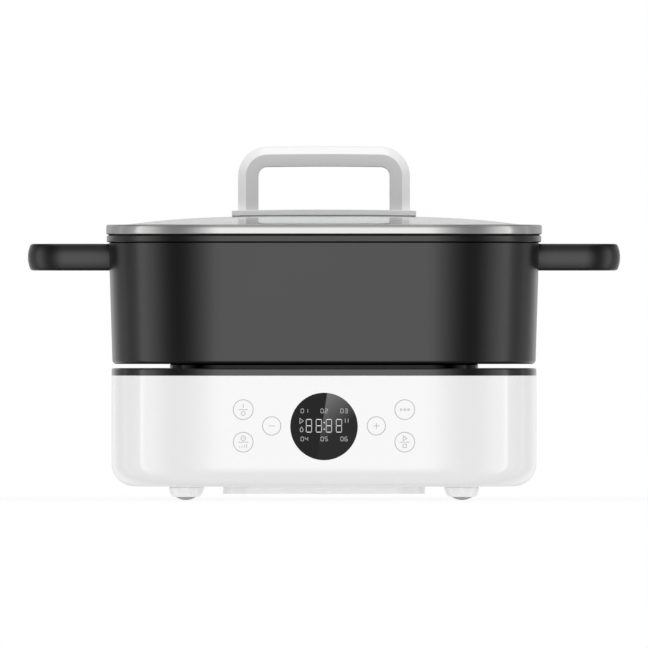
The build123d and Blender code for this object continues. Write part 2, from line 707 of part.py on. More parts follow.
with BuildPart() as coil_former:
    with BuildSketch(Plane.XY.offset(former_bottom)):
        Circle(COIL_RADIUS + FORMER_EDGE)
        with GridLocations(FORMER_POST_SPACING, FORMER_POST_SPACING, 2, 2):
            Circle(FORMER_EAR)
            Circle(screw_hole, mode=Mode.SUBTRACT)
        Circle(FORMER_BORE, mode=Mode.SUBTRACT)
        with PolarLocations(window_middle, FORMER_SPOKES, start_angle=spoke_turn / 2):
            Rectangle(FERRITE_LENGTH, FORMER_WINDOW, mode=Mode.SUBTRACT)
    extrude(amount=FORMER_HEIGHT)
coil_former.part.label = "coil_former"
export_step(coil_former.part, "parts/coil_former.step")

with BuildPart() as coil_winding:
    with BuildSketch(Plane.XY.offset(former_top)):
        Circle(COIL_RADIUS)
        Circle(COIL_SPLIT + COIL_SPLIT_GAP / 2, mode=Mode.SUBTRACT)
        Circle(COIL_SPLIT - COIL_SPLIT_GAP / 2)
        Circle(COIL_INNER, mode=Mode.SUBTRACT)
    extrude(amount=COIL_HEIGHT)
coil_winding.part.label = "coil_winding"
export_step(coil_winding.part, "parts/coil_winding.step")

for number in range(FORMER_SPOKES):
    with BuildPart() as ferrite_bar:
        with BuildSketch(Plane.XY.offset(former_bottom - FERRITE_HEIGHT)):
            with PolarLocations(window_middle, 1, start_angle=number * spoke_turn):
                Rectangle(FERRITE_LENGTH, FERRITE_WIDTH)
        extrude(amount=FERRITE_HEIGHT)
    ferrite_bar.part.label = f"ferrite_bar_{number + 1}"
    export_step(ferrite_bar.part, f"parts/ferrite_bar_{number + 1}.step")

with BuildPart() as insulation_sheet:
    with BuildSketch(Plane.XY.offset(coil_top)):
        Circle(COIL_RADIUS + FORMER_EDGE)
        Circle(SHEET_HOLE, mode=Mode.SUBTRACT)
    extrude(amount=SHEET)
insulation_sheet.part.label = "insulation_sheet"
export_step(insulation_sheet.part, "parts/insulation_sheet.step")

with BuildPart() as sensor_holder:
    with BuildSketch(Plane.XY.offset(former_bottom)):
        Circle(FORMER_BORE - SEAT_GAP)
    extrude(amount=FORMER_HEIGHT)
    with BuildSketch(Plane.XY.offset(former_bottom - SENSOR_FLANGE)):
        Circle(FORMER_BORE + SENSOR_FLANGE)
    extrude(amount=SENSOR_FLANGE)
sensor_holder.part.label = "sensor_holder"
export_step(sensor_holder.part, "parts/sensor_holder.step")

with BuildPart() as thermistor:
    with BuildSketch(Plane.XY.offset(former_top)):
        Circle(SENSOR_RADIUS)
    extrude(amount=hob_bottom - former_top)
thermistor.part.label = "thermistor"
export_step(thermistor.part, "parts/thermistor.step")

# ================================================================== power electronics
power_board_top = power_board_bottom + BOARD

with BuildPart() as power_board:
    with BuildSketch(Plane.XY.offset(power_board_bottom)):
        with Locations((POWER_BOARD_X, 0)):
            Rectangle(POWER_BOARD_WIDTH, POWER_BOARD_LENGTH)
            with GridLocations(power_screw_x, power_screw_y, 2, 2):
                Circle(screw_hole, mode=Mode.SUBTRACT)
    extrude(amount=BOARD)
power_board.part.label = "power_board"
export_step(power_board.part, "parts/power_board.step")

fin_pitch = (SINK_WIDTH - SINK_FIN) / (SINK_FINS - 1)
with BuildPart() as heat_sink:
    with BuildSketch(facing_front(SINK_LENGTH / 2)):
        with Locations((SINK_X, power_board_top + SINK_BASE / 2)):
            Rectangle(SINK_WIDTH, SINK_BASE)
        with Locations((SINK_X, power_board_top + SINK_BASE + SINK_FIN_HEIGHT / 2)):
            with GridLocations(fin_pitch, 1, SINK_FINS, 1):
                Rectangle(SINK_FIN, SINK_FIN_HEIGHT)
    extrude(amount=-SINK_LENGTH)
heat_sink.part.label = "heat_sink"
export_step(heat_sink.part, "parts/heat_sink.step")

with BuildPart() as power_switch:
    with BuildSketch(Plane.XY.offset(power_board_top)):
        with Locations((SINK_X + SINK_WIDTH / 2 + SWITCH_DEPTH / 2, 0)):
            Rectangle(SWITCH_DEPTH, SWITCH_WIDTH)
    extrude(amount=SWITCH_HEIGHT)
power_switch.part.label = "power_switch"
export_step(power_switch.part, "parts/power_switch.step")

with BuildPart() as filter_capacitor:
    with BuildSketch(Plane.XY.offset(power_board_top)):
        with Locations((PART_X, PART_Y)):
            Rectangle(CAPACITOR_WIDTH, CAPACITOR_LENGTH)
    extrude(amount=CAPACITOR_HEIGHT)
    chamfer(filter_capacitor.edges().group_by(Axis.Z)[-1], length=CAPACITOR_EDGE)
filter_capacitor.part.label = "filter_capacitor"
export_step(filter_capacitor.part, "parts/filter_capacitor.step")

with BuildPart() as filter_choke:
    with BuildSketch(Plane.XY.offset(power_board_top)):
        with Locations((PART_X, -PART_Y)):
            Circle(CHOKE_RADIUS)
            Circle(CHOKE_BORE, mode=Mode.SUBTRACT)
    extrude(amount=CHOKE_HEIGHT)
filter_choke.part.label = "filter_choke"
export_step(filter_choke.part, "parts/filter_choke.step")


# ================================================================== base screws
def screw_group(spots, head_level, length, direction):
    """Pan-head screws on vertical axes: the head's seat is at head_level, the shank runs on."""
    with BuildPart() as screws:
        with BuildSketch(Plane.XY.offset(head_level)):
            with Locations(*spots):
                Circle(SCREW_HEAD_RADIUS)
        extrude(amount=-direction * SCREW_HEAD)
        with BuildSketch(Plane.XY.offset(head_level)):
            with Locations(*spots):
                Circle(SCREW_RADIUS)
        extrude(amount=direction * length)
    return screws


def four(spacing_x, spacing_y, middle_x=0.0):
    """The corners of a rectangle of screws."""
    half_x = spacing_x / 2
    half_y = spacing_y / 2
    return [(middle_x + sx * half_x, sy * half_y) for sx in (-1, 1) for sy in (-1, 1)]


cover_screws = screw_group(four(foot_spacing, foot_spacing), well_top, WELL_ROOF + PILLAR_TIP - SCREW_SPARE, 1)
cover_screws.part.label = "cover_screws"
export_step(cover_screws.part, "parts/cover_screws.step")

plinth_seat = plinth_bottom + SCREW_HEAD + SEAT_GAP
plinth_screw_length = shell_bottom + PLINTH_BITE - SCREW_SPARE - plinth_seat
plinth_screws = screw_group(four(PLINTH_SCREW_SPACING, PLINTH_SCREW_SPACING), plinth_seat, plinth_screw_length, 1)
plinth_screws.part.label = "plinth_screws"
export_step(plinth_screws.part, "parts/plinth_screws.step")

fan_screws = screw_group(four(FAN_SCREW_SPACING, FAN_SCREW_SPACING), fan_top, FAN_HEIGHT + FAN_STANDOFF, -1)
fan_screws.part.label = "fan_screws"
export_step(fan_screws.part, "parts/fan_screws.step")

former_screws = screw_group(four(FORMER_POST_SPACING, FORMER_POST_SPACING), former_top, FORMER_SCREW_LENGTH, -1)
former_screws.part.label = "former_screws"
export_step(former_screws.part, "parts/former_screws.step")

power_spots = four(power_screw_x, power_screw_y, POWER_BOARD_X)
power_screws = screw_group(power_spots, power_board_top, BOARD + POWER_BOARD_STANDOFF - SCREW_SPARE, -1)
power_screws.part.label = "power_screws"
export_step(power_screws.part, "parts/power_screws.step")

with BuildPart() as control_screws:
    for face, radius, length in (
        (board_face - BOARD, SCREW_HEAD_RADIUS, -SCREW_HEAD),
        (board_face - BOARD, SCREW_RADIUS, BOARD + BOARD_GAP - SCREW_SPARE),
    ):
        with BuildSketch(facing_front(face)):
            with Locations((0, control_z)):
                with GridLocations(control_screw_width, CONTROL_SCREW_HEIGHT, 2, 2):
                    Circle(radius)
        extrude(amount=length)
control_screws.part.label = "control_screws"
export_step(control_screws.part, "parts/control_screws.step")

# ================================================================== pot
loop_z = pot_rim - LOOP_DROP
loop_arm = (LOOP_WIDTH - LOOP_BAR) / 2
wall_at_loop = POT_WIDTH / 2 - (flange_bottom - loop_z) * draft_slope
mouth_half = POT_WIDTH / 2 - POT_WALL
mouth_corner = POT_CORNER - POT_WALL

with BuildPart() as pot_body:
    with BuildSketch(Plane.XY.offset(pot_bottom)):
        rounded_square(POT_WIDTH / 2 - bottom_inset, POT_CORNER - bottom_inset)
    extrude(amount=wall_rise, taper=-POT_DRAFT)
    fillet(pot_body.edges().group_by(Axis.Z)[0], radius=POT_EDGE)
    with BuildSketch(Plane.XY.offset(flange_bottom)):
        rounded_square(POT_WIDTH / 2 + FLANGE_LIP, POT_CORNER + FLANGE_LIP)
    extrude(amount=FLANGE_HEIGHT)
    fillet(pot_body.edges().group_by(Axis.Z)[-1], radius=FLANGE_EDGE)
    # cast lugs that carry the side loops
    for side in (-1, 1):
        for arm in (-1, 1):
            with Locations((side * (wall_at_loop + LUG_LENGTH / 2 - POT_WALL / 2), arm * loop_arm, loop_z)):
                Box(LUG_LENGTH + POT_WALL, LUG_WIDTH, LUG_HEIGHT)
            with Locations((side * (wall_at_loop + LUG_SCREW), arm * loop_arm, loop_z)):
                Cylinder(LOOP_SCREW_RADIUS + THREAD_GAP, LUG_HEIGHT, mode=Mode.SUBTRACT)
    # cooking space
    floor_inset = (wall_rise - POT_FLOOR) * draft_slope
    with BuildSketch(Plane.XY.offset(pot_bottom + POT_FLOOR)):
        rounded_square(mouth_half - floor_inset, mouth_corner - floor_inset)
    extrude(amount=POT_HEIGHT - POT_FLOOR, taper=-POT_DRAFT, mode=Mode.SUBTRACT)
    cooking_floor = pot_body.faces().filter_by(Plane.XY).sort_by(Axis.Z)[1]
    fillet(cooking_floor.edges(), radius=POT_INNER_EDGE)
    # recess of the induction disc
    with BuildSketch(Plane.XY.offset(pot_bottom)):
        Circle(DISC_RADIUS + THREAD_GAP)
    extrude(amount=DISC_THICKNESS, mode=Mode.SUBTRACT)
pot_body.part.label = "pot_body"
export_step(pot_body.part, "parts/pot_body.step")

with BuildPart() as induction_disc:
    with BuildSketch(Plane.XY.offset(pot_bottom)):
        Circle(DISC_RADIUS)
    extrude(amount=DISC_THICKNESS)
induction_disc.part.label = "induction_disc"
export_step(induction_disc.part, "parts/induction_disc.step")

# ------------------------------------------------------------------ side loops
loop_tip = wall_at_loop + LOOP_REACH
loop_line = loop_tip - LOOP_BAR / 2
loop_bend = LOOP_CORNER - LOOP_BAR / 2
wall_tilt = math.radians(POT_DRAFT)
wall_plane = Plane(
    origin=(wall_at_loop + SEAT_GAP, 0, loop_z),
    x_dir=(0, 1, 0),
    z_dir=(math.cos(wall_tilt), 0, -math.sin(wall_tilt)),
)

with BuildPart() as handle_right:
    with BuildLine(Plane.XY.offset(loop_z)):
        FilletPolyline(
            (wall_at_loop - LOOP_EDGE, -loop_arm),
            (loop_line, -loop_arm),
            (loop_line, loop_arm),
            (wall_at_loop - LOOP_EDGE, loop_arm),
            radius=loop_bend,
        )
    with BuildSketch(
        Plane(origin=(wall_at_loop - LOOP_EDGE, -loop_arm, loop_z), x_dir=(0, 1, 0), z_dir=(1, 0, 0))
    ):
        RectangleRounded(LOOP_BAR, LOOP_THICKNESS, LOOP_EDGE)
    sweep()
    split(bisect_by=wall_plane, keep=Keep.TOP)
    # pockets over the lugs and the screw ways from below
    for arm in (-1, 1):
        with Locations((wall_at_loop + LUG_LENGTH / 2, arm * loop_arm, loop_z)):
            Box(
                LUG_LENGTH + 2 * SEAT_GAP,
                LUG_WIDTH + 2 * SEAT_GAP,
                LUG_HEIGHT + 2 * SEAT_GAP,
                mode=Mode.SUBTRACT,
            )
        with Locations((wall_at_loop + LUG_SCREW, arm * loop_arm, loop_z - LOOP_THICKNESS / 4)):
            Cylinder(LOOP_SCREW_RADIUS + SHANK_GAP, LOOP_THICKNESS / 2, mode=Mode.SUBTRACT)
        with Locations(
            (wall_at_loop + LUG_SCREW, arm * loop_arm, loop_z - LOOP_THICKNESS / 2 + LOOP_SCREW_SINK / 2)
        ):
            Cylinder(LOOP_SCREW_HEAD + SHANK_GAP, LOOP_SCREW_SINK, mode=Mode.SUBTRACT)
handle_right.part.label = "handle_right"
export_step(handle_right.part, "parts/handle_right.step")

with BuildPart() as handle_left:
    add(handle_right.part)
    mirror(about=Plane.YZ, mode=Mode.REPLACE)
handle_left.part.label = "handle_left"
export_step(handle_left.part, "parts/handle_left.step")

loop_screw_seat = loop_z - LOOP_THICKNESS / 2 + LOOP_SCREW_SINK
loop_spots = four(2 * (wall_at_loop + LUG_SCREW), 2 * loop_arm)
with BuildPart() as loop_screws:
    with BuildSketch(Plane.XY.offset(loop_screw_seat)):
        with Locations(*loop_spots):
            Circle(LOOP_SCREW_HEAD)
    extrude(amount=-LOOP_SCREW_SINK + SEAT_GAP)
    with BuildSketch(Plane.XY.offset(loop_screw_seat)):
        with Locations(*loop_spots):
            Circle(LOOP_SCREW_RADIUS)
    extrude(amount=loop_z + LUG_HEIGHT / 2 - loop_screw_seat)
loop_screws.part.label = "loop_screws"
export_step(loop_screws.part, "parts/loop_screws.step")

# ================================================================== lid seal and rim
web_inner = rim_half - RIM_TURN
seal_outer = rim_half - SEAL_INSET


def corner_at(half):
    """The corner radius of the rounded square that runs parallel to the rim at this half-width."""
    return rim_corner - (rim_half - half)


with BuildPart() as lid_seal:
    with BuildSketch(Plane.XY.offset(pot_rim)):
        rounded_square(seal_outer, corner_at(seal_outer))
        seal_inner = seal_outer - SEAL_WIDTH
        RectangleRounded(2 * seal_inner, 2 * seal_inner, corner_at(seal_inner), mode=Mode.SUBTRACT)
    extrude(amount=SEAL_HEIGHT)
lid_seal.part.label = "lid_seal"
export_step(lid_seal.part, "parts/lid_seal.step")

rim_top = rim_bottom + RIM_HEIGHT
with BuildPart() as lid_rim:
    with BuildSketch(Plane.XY.offset(rim_bottom)):
        rounded_square(rim_half, rim_corner)
    extrude(amount=RIM_HEIGHT)
    rolled = lid_rim.edges().group_by(Axis.Z)
    fillet(rolled[0] + rolled[-1], radius=RIM_ROLL)
    # skirt that centres the lid in the pot
    with BuildSketch(Plane.XY.offset(rim_bottom - RIM_SKIRT)):
        rounded_square(web_inner + RIM_SHEET, corner_at(web_inner + RIM_SHEET))
    extrude(amount=RIM_SKIRT)
    with BuildSketch(Plane.XY.offset(rim_bottom - RIM_SKIRT)):
        rounded_square(web_inner, corner_at(web_inner))
    extrude(amount=RIM_SKIRT + RIM_SHEET, mode=Mode.SUBTRACT)
    # channel round the edge of the glass, and the mouth inside the lip
    band_inner = rim_half - RIM_SHEET
    with BuildSketch(Plane.XY.offset(rim_bottom + RIM_SHEET)):
        rounded_square(band_inner, corner_at(band_inner))
    extrude(amount=RIM_HEIGHT - 2 * RIM_SHEET, mode=Mode.SUBTRACT)
    lip_inner = rim_half - RIM_LIP
    with BuildSketch(Plane.XY.offset(rim_top - RIM_SHEET)):
        rounded_square(lip_inner, corner_at(lip_inner))
    extrude(amount=RIM_SHEET, mode=Mode.SUBTRACT)
lid_rim.part.label = "lid_rim"
export_step(lid_rim.part, "parts/lid_rim.step")

# ================================================================== lid glass
glass_corner_share = (rim_corner - RIM_SHEET - RIM_ROLL) / glass_half
leg_x = (HANDLE_SPAN - HANDLE_BAR) / 2


def glass_level(share):
    """Height of the glass's upper face where its rounded square is this share of the full one."""
    return glass_apex - GLASS_RISE * share**GLASS_POWER


with BuildPart() as glass_hollow:
    for share in GLASS_SHARE:
        hollow_half = (glass_half - GLASS_FOOT) * share
        with BuildSketch(Plane.XY.offset(glass_level(share) - GLASS_THICKNESS)):
            rounded_square(hollow_half, hollow_half * glass_corner_share)
    loft()

with BuildPart() as lid_glass:
    with BuildSketch(Plane.XY.offset(glass_edge)):
        rounded_square(glass_half, glass_half * glass_corner_share)
    extrude(amount=GLASS_THICKNESS)
    for share in GLASS_SHARE:
        face_half = glass_half * share
        with BuildSketch(Plane.XY.offset(glass_level(share))):
            rounded_square(face_half, face_half * glass_corner_share)
    loft()
    add(glass_hollow.part, mode=Mode.SUBTRACT)
    # handle screw holes and the vent hole
    with BuildSketch(Plane.XY.offset(glass_edge)):
        with Locations((-leg_x, 0), (leg_x, 0)):
            Circle(GLASS_HOLE)
        with Locations((0, VENT_PLACE)):
            Circle(VENT_RADIUS + SEAT_GAP)
    extrude(amount=2 * GLASS_RISE + GLASS_THICKNESS, mode=Mode.SUBTRACT)
lid_glass.part.label = "lid_glass"
export_step(lid_glass.part, "parts/lid_glass.step")

# ================================================================== vent eyelet
vent_top = glass_apex + VENT_LIP
vent_under = glass_under - VENT_SAG

with BuildPart() as vent_eyelet:
    with BuildSketch(Plane.XY.offset(vent_under - VENT_LIP)):
        with Locations((0, VENT_PLACE)):
            Circle(VENT_FLANGE)
    extrude(amount=VENT_LIP)
    with BuildSketch(Plane.XY.offset(vent_under)):
        with Locations((0, VENT_PLACE)):
            Circle(VENT_RADIUS)
    extrude(amount=glass_apex - vent_under)
    with BuildSketch(Plane.XY.offset(glass_apex)):
        with Locations((0, VENT_PLACE)):
            Circle(VENT_FLANGE)
    extrude(amount=VENT_LIP)
    fillet(vent_eyelet.edges().group_by(Axis.Z)[-1], radius=VENT_LIP / 2)
    with BuildSketch(Plane.XY.offset(vent_under - VENT_LIP)):
        with Locations((0, VENT_PLACE)):
            Circle(VENT_HOLE)
    extrude(amount=vent_top - vent_under + VENT_LIP, mode=Mode.SUBTRACT)
vent_eyelet.part.label = "vent_eyelet"
export_step(vent_eyelet.part, "parts/vent_eyelet.step")

# ================================================================== lid handle
plate_bottom = glass_apex
plate_top = plate_bottom + PLATE_HEIGHT
plate_half = PLATE_LENGTH / 2
handle_base = plate_top - PLATE_CROWN - PLATE_SEAT
handle_top = plate_top + HANDLE_HEIGHT
bar_line = handle_top - HANDLE_BAR / 2
screw_reach = handle_base + LID_SCREW_BITE

with BuildPart() as handle_plate:
    with BuildSketch(Plane.XY.offset(plate_bottom)) as plate_plan:
        Rectangle(PLATE_LENGTH, PLATE_DEPTH)
        chamfer(
            plate_plan.vertices().group_by(Axis.X)[0] + plate_plan.vertices().group_by(Axis.X)[-1],
            length=PLATE_CHAMFER,
        )
    extrude(amount=PLATE_HEIGHT)
    # gentle arch of the upper face
    with BuildSketch(facing_front(PLATE_DEPTH)):
        with BuildLine():
            Line((-plate_half, plate_top - PLATE_CROWN), (-plate_half, plate_top + PLATE_HEIGHT))
            Line((-plate_half, plate_top + PLATE_HEIGHT), (plate_half, plate_top + PLATE_HEIGHT))
            Line((plate_half, plate_top + PLATE_HEIGHT), (plate_half, plate_top - PLATE_CROWN))
            ThreePointArc(
                (plate_half, plate_top - PLATE_CROWN), (0, plate_top), (-plate_half, plate_top - PLATE_CROWN)
            )
        make_face()
    extrude(amount=-2 * PLATE_DEPTH, mode=Mode.SUBTRACT)
    # seats of the two legs and their screw holes
    with BuildSketch(Plane.XY.offset(handle_base)):
        with Locations((-leg_x, 0), (leg_x, 0)):
            Rectangle(HANDLE_BAR + 2 * SEAT_GAP, HANDLE_DEPTH + 2 * SEAT_GAP)
    extrude(amount=PLATE_HEIGHT, mode=Mode.SUBTRACT)
    with BuildSketch(Plane.XY.offset(plate_bottom)):
        with Locations((-leg_x, 0), (leg_x, 0)):
            Circle(LID_SCREW_RADIUS + SHANK_GAP)
    extrude(amount=PLATE_HEIGHT, mode=Mode.SUBTRACT)
handle_plate.part.label = "handle_plate"
export_step(handle_plate.part, "parts/handle_plate.step")

half_depth = HANDLE_DEPTH / 2
flat_depth = half_depth - HANDLE_BEVEL_DEPTH
with BuildPart() as lid_handle:
    with BuildLine(Plane.XZ) as handle_path:
        Line((-leg_x, handle_base), (-leg_x, bar_line - HANDLE_CROWN))
        ThreePointArc((-leg_x, bar_line - HANDLE_CROWN), (0, bar_line), (leg_x, bar_line - HANDLE_CROWN))
        Line((leg_x, bar_line - HANDLE_CROWN), (leg_x, handle_base))
        fillet(handle_path.vertices().group_by(Axis.Z)[-1], radius=HANDLE_BEND)
    # section of the bar: square inside, bevelled on both outer edges
    with BuildSketch(Plane(origin=(-leg_x, 0, handle_base), x_dir=(-1, 0, 0), z_dir=(0, 0, 1))):
        with BuildLine():
            Polyline(
                (-HANDLE_BAR / 2, -half_depth),
                (HANDLE_BAR / 2 - HANDLE_BEVEL, -half_depth),
                (HANDLE_BAR / 2, -flat_depth),
                (HANDLE_BAR / 2, flat_depth),
                (HANDLE_BAR / 2 - HANDLE_BEVEL, half_depth),
                (-HANDLE_BAR / 2, half_depth),
                close=True,
            )
        make_face()
    sweep()
    # screw bores up into the legs
    with BuildSketch(Plane.XY.offset(handle_base)):
        with Locations((-leg_x, 0), (leg_x, 0)):
            Circle(LID_SCREW_RADIUS + THREAD_GAP)
    extrude(amount=LID_SCREW_BITE + SCREW_SPARE, mode=Mode.SUBTRACT)
lid_handle.part.label = "lid_handle"
export_step(lid_handle.part, "parts/lid_handle.step")

# ------------------------------------------------------------------ fixings under the glass
seat_top = glass_under - GLASS_SAG
seat_under = seat_top - SEAT_THICKNESS
washer_under = seat_under - WASHER_THICKNESS

with BuildPart() as handle_seats:
    with BuildSketch(Plane.XY.offset(seat_under)):
        with Locations((-leg_x, 0), (leg_x, 0)):
            Circle(SEAT_RADIUS)
            Circle(LID_SCREW_RADIUS + SHANK_GAP, mode=Mode.SUBTRACT)
    extrude(amount=SEAT_THICKNESS)
handle_seats.part.label = "handle_seats"
export_step(handle_seats.part, "parts/handle_seats.step")

with BuildPart() as lid_washers:
    with BuildSketch(Plane.XY.offset(washer_under)):
        with Locations((-leg_x, 0), (leg_x, 0)):
            Circle(SEAT_RADIUS)
            Circle(LID_SCREW_RADIUS + SHANK_GAP, mode=Mode.SUBTRACT)
    extrude(amount=WASHER_THICKNESS)
lid_washers.part.label = "lid_washers"
export_step(lid_washers.part, "parts/lid_washers.step")

with BuildPart() as lid_screws:
    with BuildSketch(Plane.XY.offset(washer_under)):
        with Locations((-leg_x, 0), (leg_x, 0)):
            Circle(LID_SCREW_HEAD)
    extrude(amount=-LID_SCREW_HEAD_HEIGHT)
    fillet(lid_screws.edges().group_by(Axis.Z)[0], radius=LID_SCREW_HEAD_HEIGHT / 2)
    with BuildSketch(Plane.XY.offset(washer_under)):
        with Locations((-leg_x, 0), (leg_x, 0)):
            Circle(LID_SCREW_RADIUS)
    extrude(amount=screw_reach - washer_under)
lid_screws.part.label = "lid_screws"
export_step(lid_screws.part, "parts/lid_screws.step")
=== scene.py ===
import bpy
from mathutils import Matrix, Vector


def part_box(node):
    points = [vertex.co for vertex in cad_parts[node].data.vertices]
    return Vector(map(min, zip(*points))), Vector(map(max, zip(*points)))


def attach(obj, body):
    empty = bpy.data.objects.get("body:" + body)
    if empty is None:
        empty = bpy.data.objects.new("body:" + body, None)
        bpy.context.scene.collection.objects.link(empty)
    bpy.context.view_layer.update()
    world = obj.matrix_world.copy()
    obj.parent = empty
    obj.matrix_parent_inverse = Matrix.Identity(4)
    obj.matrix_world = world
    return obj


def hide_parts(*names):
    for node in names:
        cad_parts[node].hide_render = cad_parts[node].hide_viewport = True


bl_info = {
    "name": "Hot Pot Finisher",
    "version": (1, 0, 0),
    "blender": (4, 5, 0),
    "location": "View3D > Sidebar > Hot Pot",
    "description": "Builds the finished surfaces of an electric hot pot round its frame",
    "category": "Object",
}

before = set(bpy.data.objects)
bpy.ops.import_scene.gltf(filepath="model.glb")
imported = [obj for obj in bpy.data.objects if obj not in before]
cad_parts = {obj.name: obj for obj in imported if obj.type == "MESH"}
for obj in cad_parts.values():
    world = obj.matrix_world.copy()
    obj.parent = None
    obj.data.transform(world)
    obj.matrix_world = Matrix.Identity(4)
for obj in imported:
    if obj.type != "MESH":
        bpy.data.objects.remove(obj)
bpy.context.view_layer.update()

import math

import bmesh
import bpy
from bpy.props import FloatProperty, FloatVectorProperty, IntProperty, PointerProperty
from mathutils import Vector

MM = 0.001
IMAGE_PIXELS = 648
SENSOR_MM = 36.0


def mm(*values):
    """Millimetres to metres, one value or several."""
    return values[0] * MM if len(values) == 1 else tuple(value * MM for value in values)


def linear(hex_colour):
    """An sRGB hex value as a linear RGB triple."""
    channels = ((hex_colour >> shift & 0xFF) / 255 for shift in (16, 8, 0))
    return tuple(c / 12.92 if c <= 0.04045 else ((c + 0.055) / 1.055) ** 2.4 for c in channels)


def rgba(colour, level=1.0):
    """A linear colour with full alpha, made lighter or darker by level."""
    return (*(min(1.0, channel * level) for channel in colour[:3]), 1.0)


# ------------------------------------------------------------------ settings a user would change
def length(name, description, default_mm):
    """A length property whose default is in millimetres."""
    return FloatProperty(name=name, description=description, default=mm(default_mm), unit="LENGTH")


def colour(name, description, hex_colour):
    """A colour property whose default is an sRGB hex value."""
    return FloatVectorProperty(
        name=name, description=description, default=linear(hex_colour), subtype="COLOR", size=3, min=0, max=1
    )


class HousingSettings(bpy.types.PropertyGroup):
    """Base housing, its cover and feet."""

    shell: colour("Shell", "Moulded white of the shell", 0xF1F1F1)
    # painted light: a lighter copy of the shell's white that makes up for the shade on the plinth, foot cups
    # and outside of the lid handle
    painted_fill_white: colour("Pure white parts", "Purer white of the plinth, foot cups and outside of the lid handle",
                 0xFAFAFA)
    cover: colour("Cover", "Black of the top cover", 0x161617)
    hob: colour("Hob", "Black of the hob glass", 0x09090A)
    pad: colour("Foot pad", "Grey rubber of the foot pads", 0xA2A2A4)


class PanelSettings(bpy.types.PropertyGroup):
    """Printed keys and the round display."""

    ink: colour("Ink", "Grey ink of the key rings and symbols", 0xA6A6A6)
    window: colour("Window", "Smoked acrylic of the display", 0x090909)
    # painted reflection: this colour is the glare painted over the right half of the display
    sheen: colour("Sheen", "Lighter film behind the right half of the display", 0x767676)
    lit: colour("Lit segments", "Colour of the lit figures", 0xE4E6E6)
    ring_large: length("Large ring", "Outer diameter of the four outer key rings", 14.2)
    ring_small: length("Small ring", "Outer diameter of the plus and minus rings", 13.2)
    ring_line: length("Ring line", "Width of the printed rings", 0.46)
    figure_height: length("Figure height", "Height of the large figures", 9.3)
    figure_width: length("Figure width", "Width of the large figures", 4.2)


class PotSettings(bpy.types.PropertyGroup):
    """Cast pot and its side loops."""

    coat: colour("Coat", "Satin coat of the pot", 0x0C0C0D)
    loop: colour("Loops", "Phenolic of the side loops", 0x0F0F10)
    corner_cuts: IntProperty(name="Corner cuts", description="Facets in each plan corner", default=28, min=8)


class LidSettings(bpy.types.PropertyGroup):
    """Glass lid, its steel rim and handle."""

    steel: colour("Steel", "Polished stainless steel of the rim", 0xCBCBCA)
    glass: colour("Glass", "Tempered glass", 0xF6FAF9)
    handle: colour("Handle core", "Satin grey of the handle's core", 0xDADADA)
    # painted light: the plate's grey is set lighter than the handle's core to make up for the shade the rim
    # and glass cast on it
    plate: colour("Plate", "Satin grey of the plate under the handle", 0xEEEEEE)


class StageSettings(bpy.types.PropertyGroup):
    """Floor, world and camera."""

    floor: colour("Floor", "Part of the floor's white that takes shadows", 0x7C7C7C)
    floor_glow: FloatProperty(
        name="Floor glow", description="Part of the floor's white that it gives of itself", default=0.8
    )
    floor_radius: length("Floor radius", "Half-width of the floor", 900.0)
    pixel: length("Pixel", "Width of one image pixel at the object", 0.7012)
    aim: length("Aim", "Height of the middle of the image above the floor", 122.8)
    lens: FloatProperty(name="Lens", description="Focal length in millimetres", default=1500.0)


class HotPotSettings(bpy.types.PropertyGroup):
    """All settings of the hot pot."""

    housing: PointerProperty(type=HousingSettings)
    panel: PointerProperty(type=PanelSettings)
    pot: PointerProperty(type=PotSettings)
    lid: PointerProperty(type=LidSettings)
    stage: PointerProperty(type=StageSettings)


def settings():
    """The scene's settings for this object."""
    return bpy.context.scene.hot_pot


# ------------------------------------------------------------------ materials
DRIFT_MM = 71.43  # size of the broad patches over which every roughness wanders


def add_node(tree, kind, inputs=None, **attributes):
    """Add a node, set its attributes, and set or link its inputs by name or number."""
    node = tree.nodes.new(kind)
    for name, value in attributes.items():
        setattr(node, name, value)
    for key, value in (inputs or {}).items():
        if isinstance(value, bpy.types.NodeSocket):
            tree.links.new(value, node.inputs[key])
        else:
            node.inputs[key].default_value = value
    return node


def find_node(tree, kind):
    """The tree's first node of this type."""
    return next(node for node in tree.nodes if node.type == kind)


def surface(name, tint, grain_mm, bump_mm, roughness, spread, shift, **principled):
    """A material whose tint and height follow a grain of this size, and whose roughness drifts slowly.

    spread is how far the roughness wanders, shift how far the tint does, and principled sets the
    shader's own sockets.
    """
    if name in bpy.data.materials:
        return bpy.data.materials[name]
    material = bpy.data.materials.new(name)
    material.use_nodes = True
    tree = material.node_tree
    tree.nodes.clear()
    place = add_node(tree, "ShaderNodeTexCoord")
    grain = add_node(
        tree, "ShaderNodeTexNoise",
        {"Vector": place.outputs["Object"], "Scale": 1 / mm(grain_mm), "Detail": 3.0, "Roughness": 0.55},
    )
    drift = add_node(
        tree, "ShaderNodeTexNoise",
        {"Vector": place.outputs["Object"], "Scale": 1 / mm(DRIFT_MM), "Detail": 2.0},
    )
    tone = add_node(
        tree, "ShaderNodeMixRGB",
        {"Fac": grain.outputs["Fac"], "Color1": rgba(tint, 1 - shift), "Color2": rgba(tint, 1 + shift)},
    )
    rough = add_node(
        tree, "ShaderNodeMapRange",
        {"Value": drift.outputs["Fac"], "To Min": max(roughness - spread, 0.0), "To Max": roughness + spread},
    )
    bump = add_node(
        tree, "ShaderNodeBump", {"Height": grain.outputs["Fac"], "Distance": mm(bump_mm), "Strength": 1.0}
    )
    shader = add_node(
        tree, "ShaderNodeBsdfPrincipled",
        {"Base Color": tone.outputs["Color"], "Roughness": rough.outputs["Result"],
         "Normal": bump.outputs["Normal"], **principled},
    )
    add_node(tree, "ShaderNodeOutputMaterial", {"Surface": shader.outputs["BSDF"]})
    return material


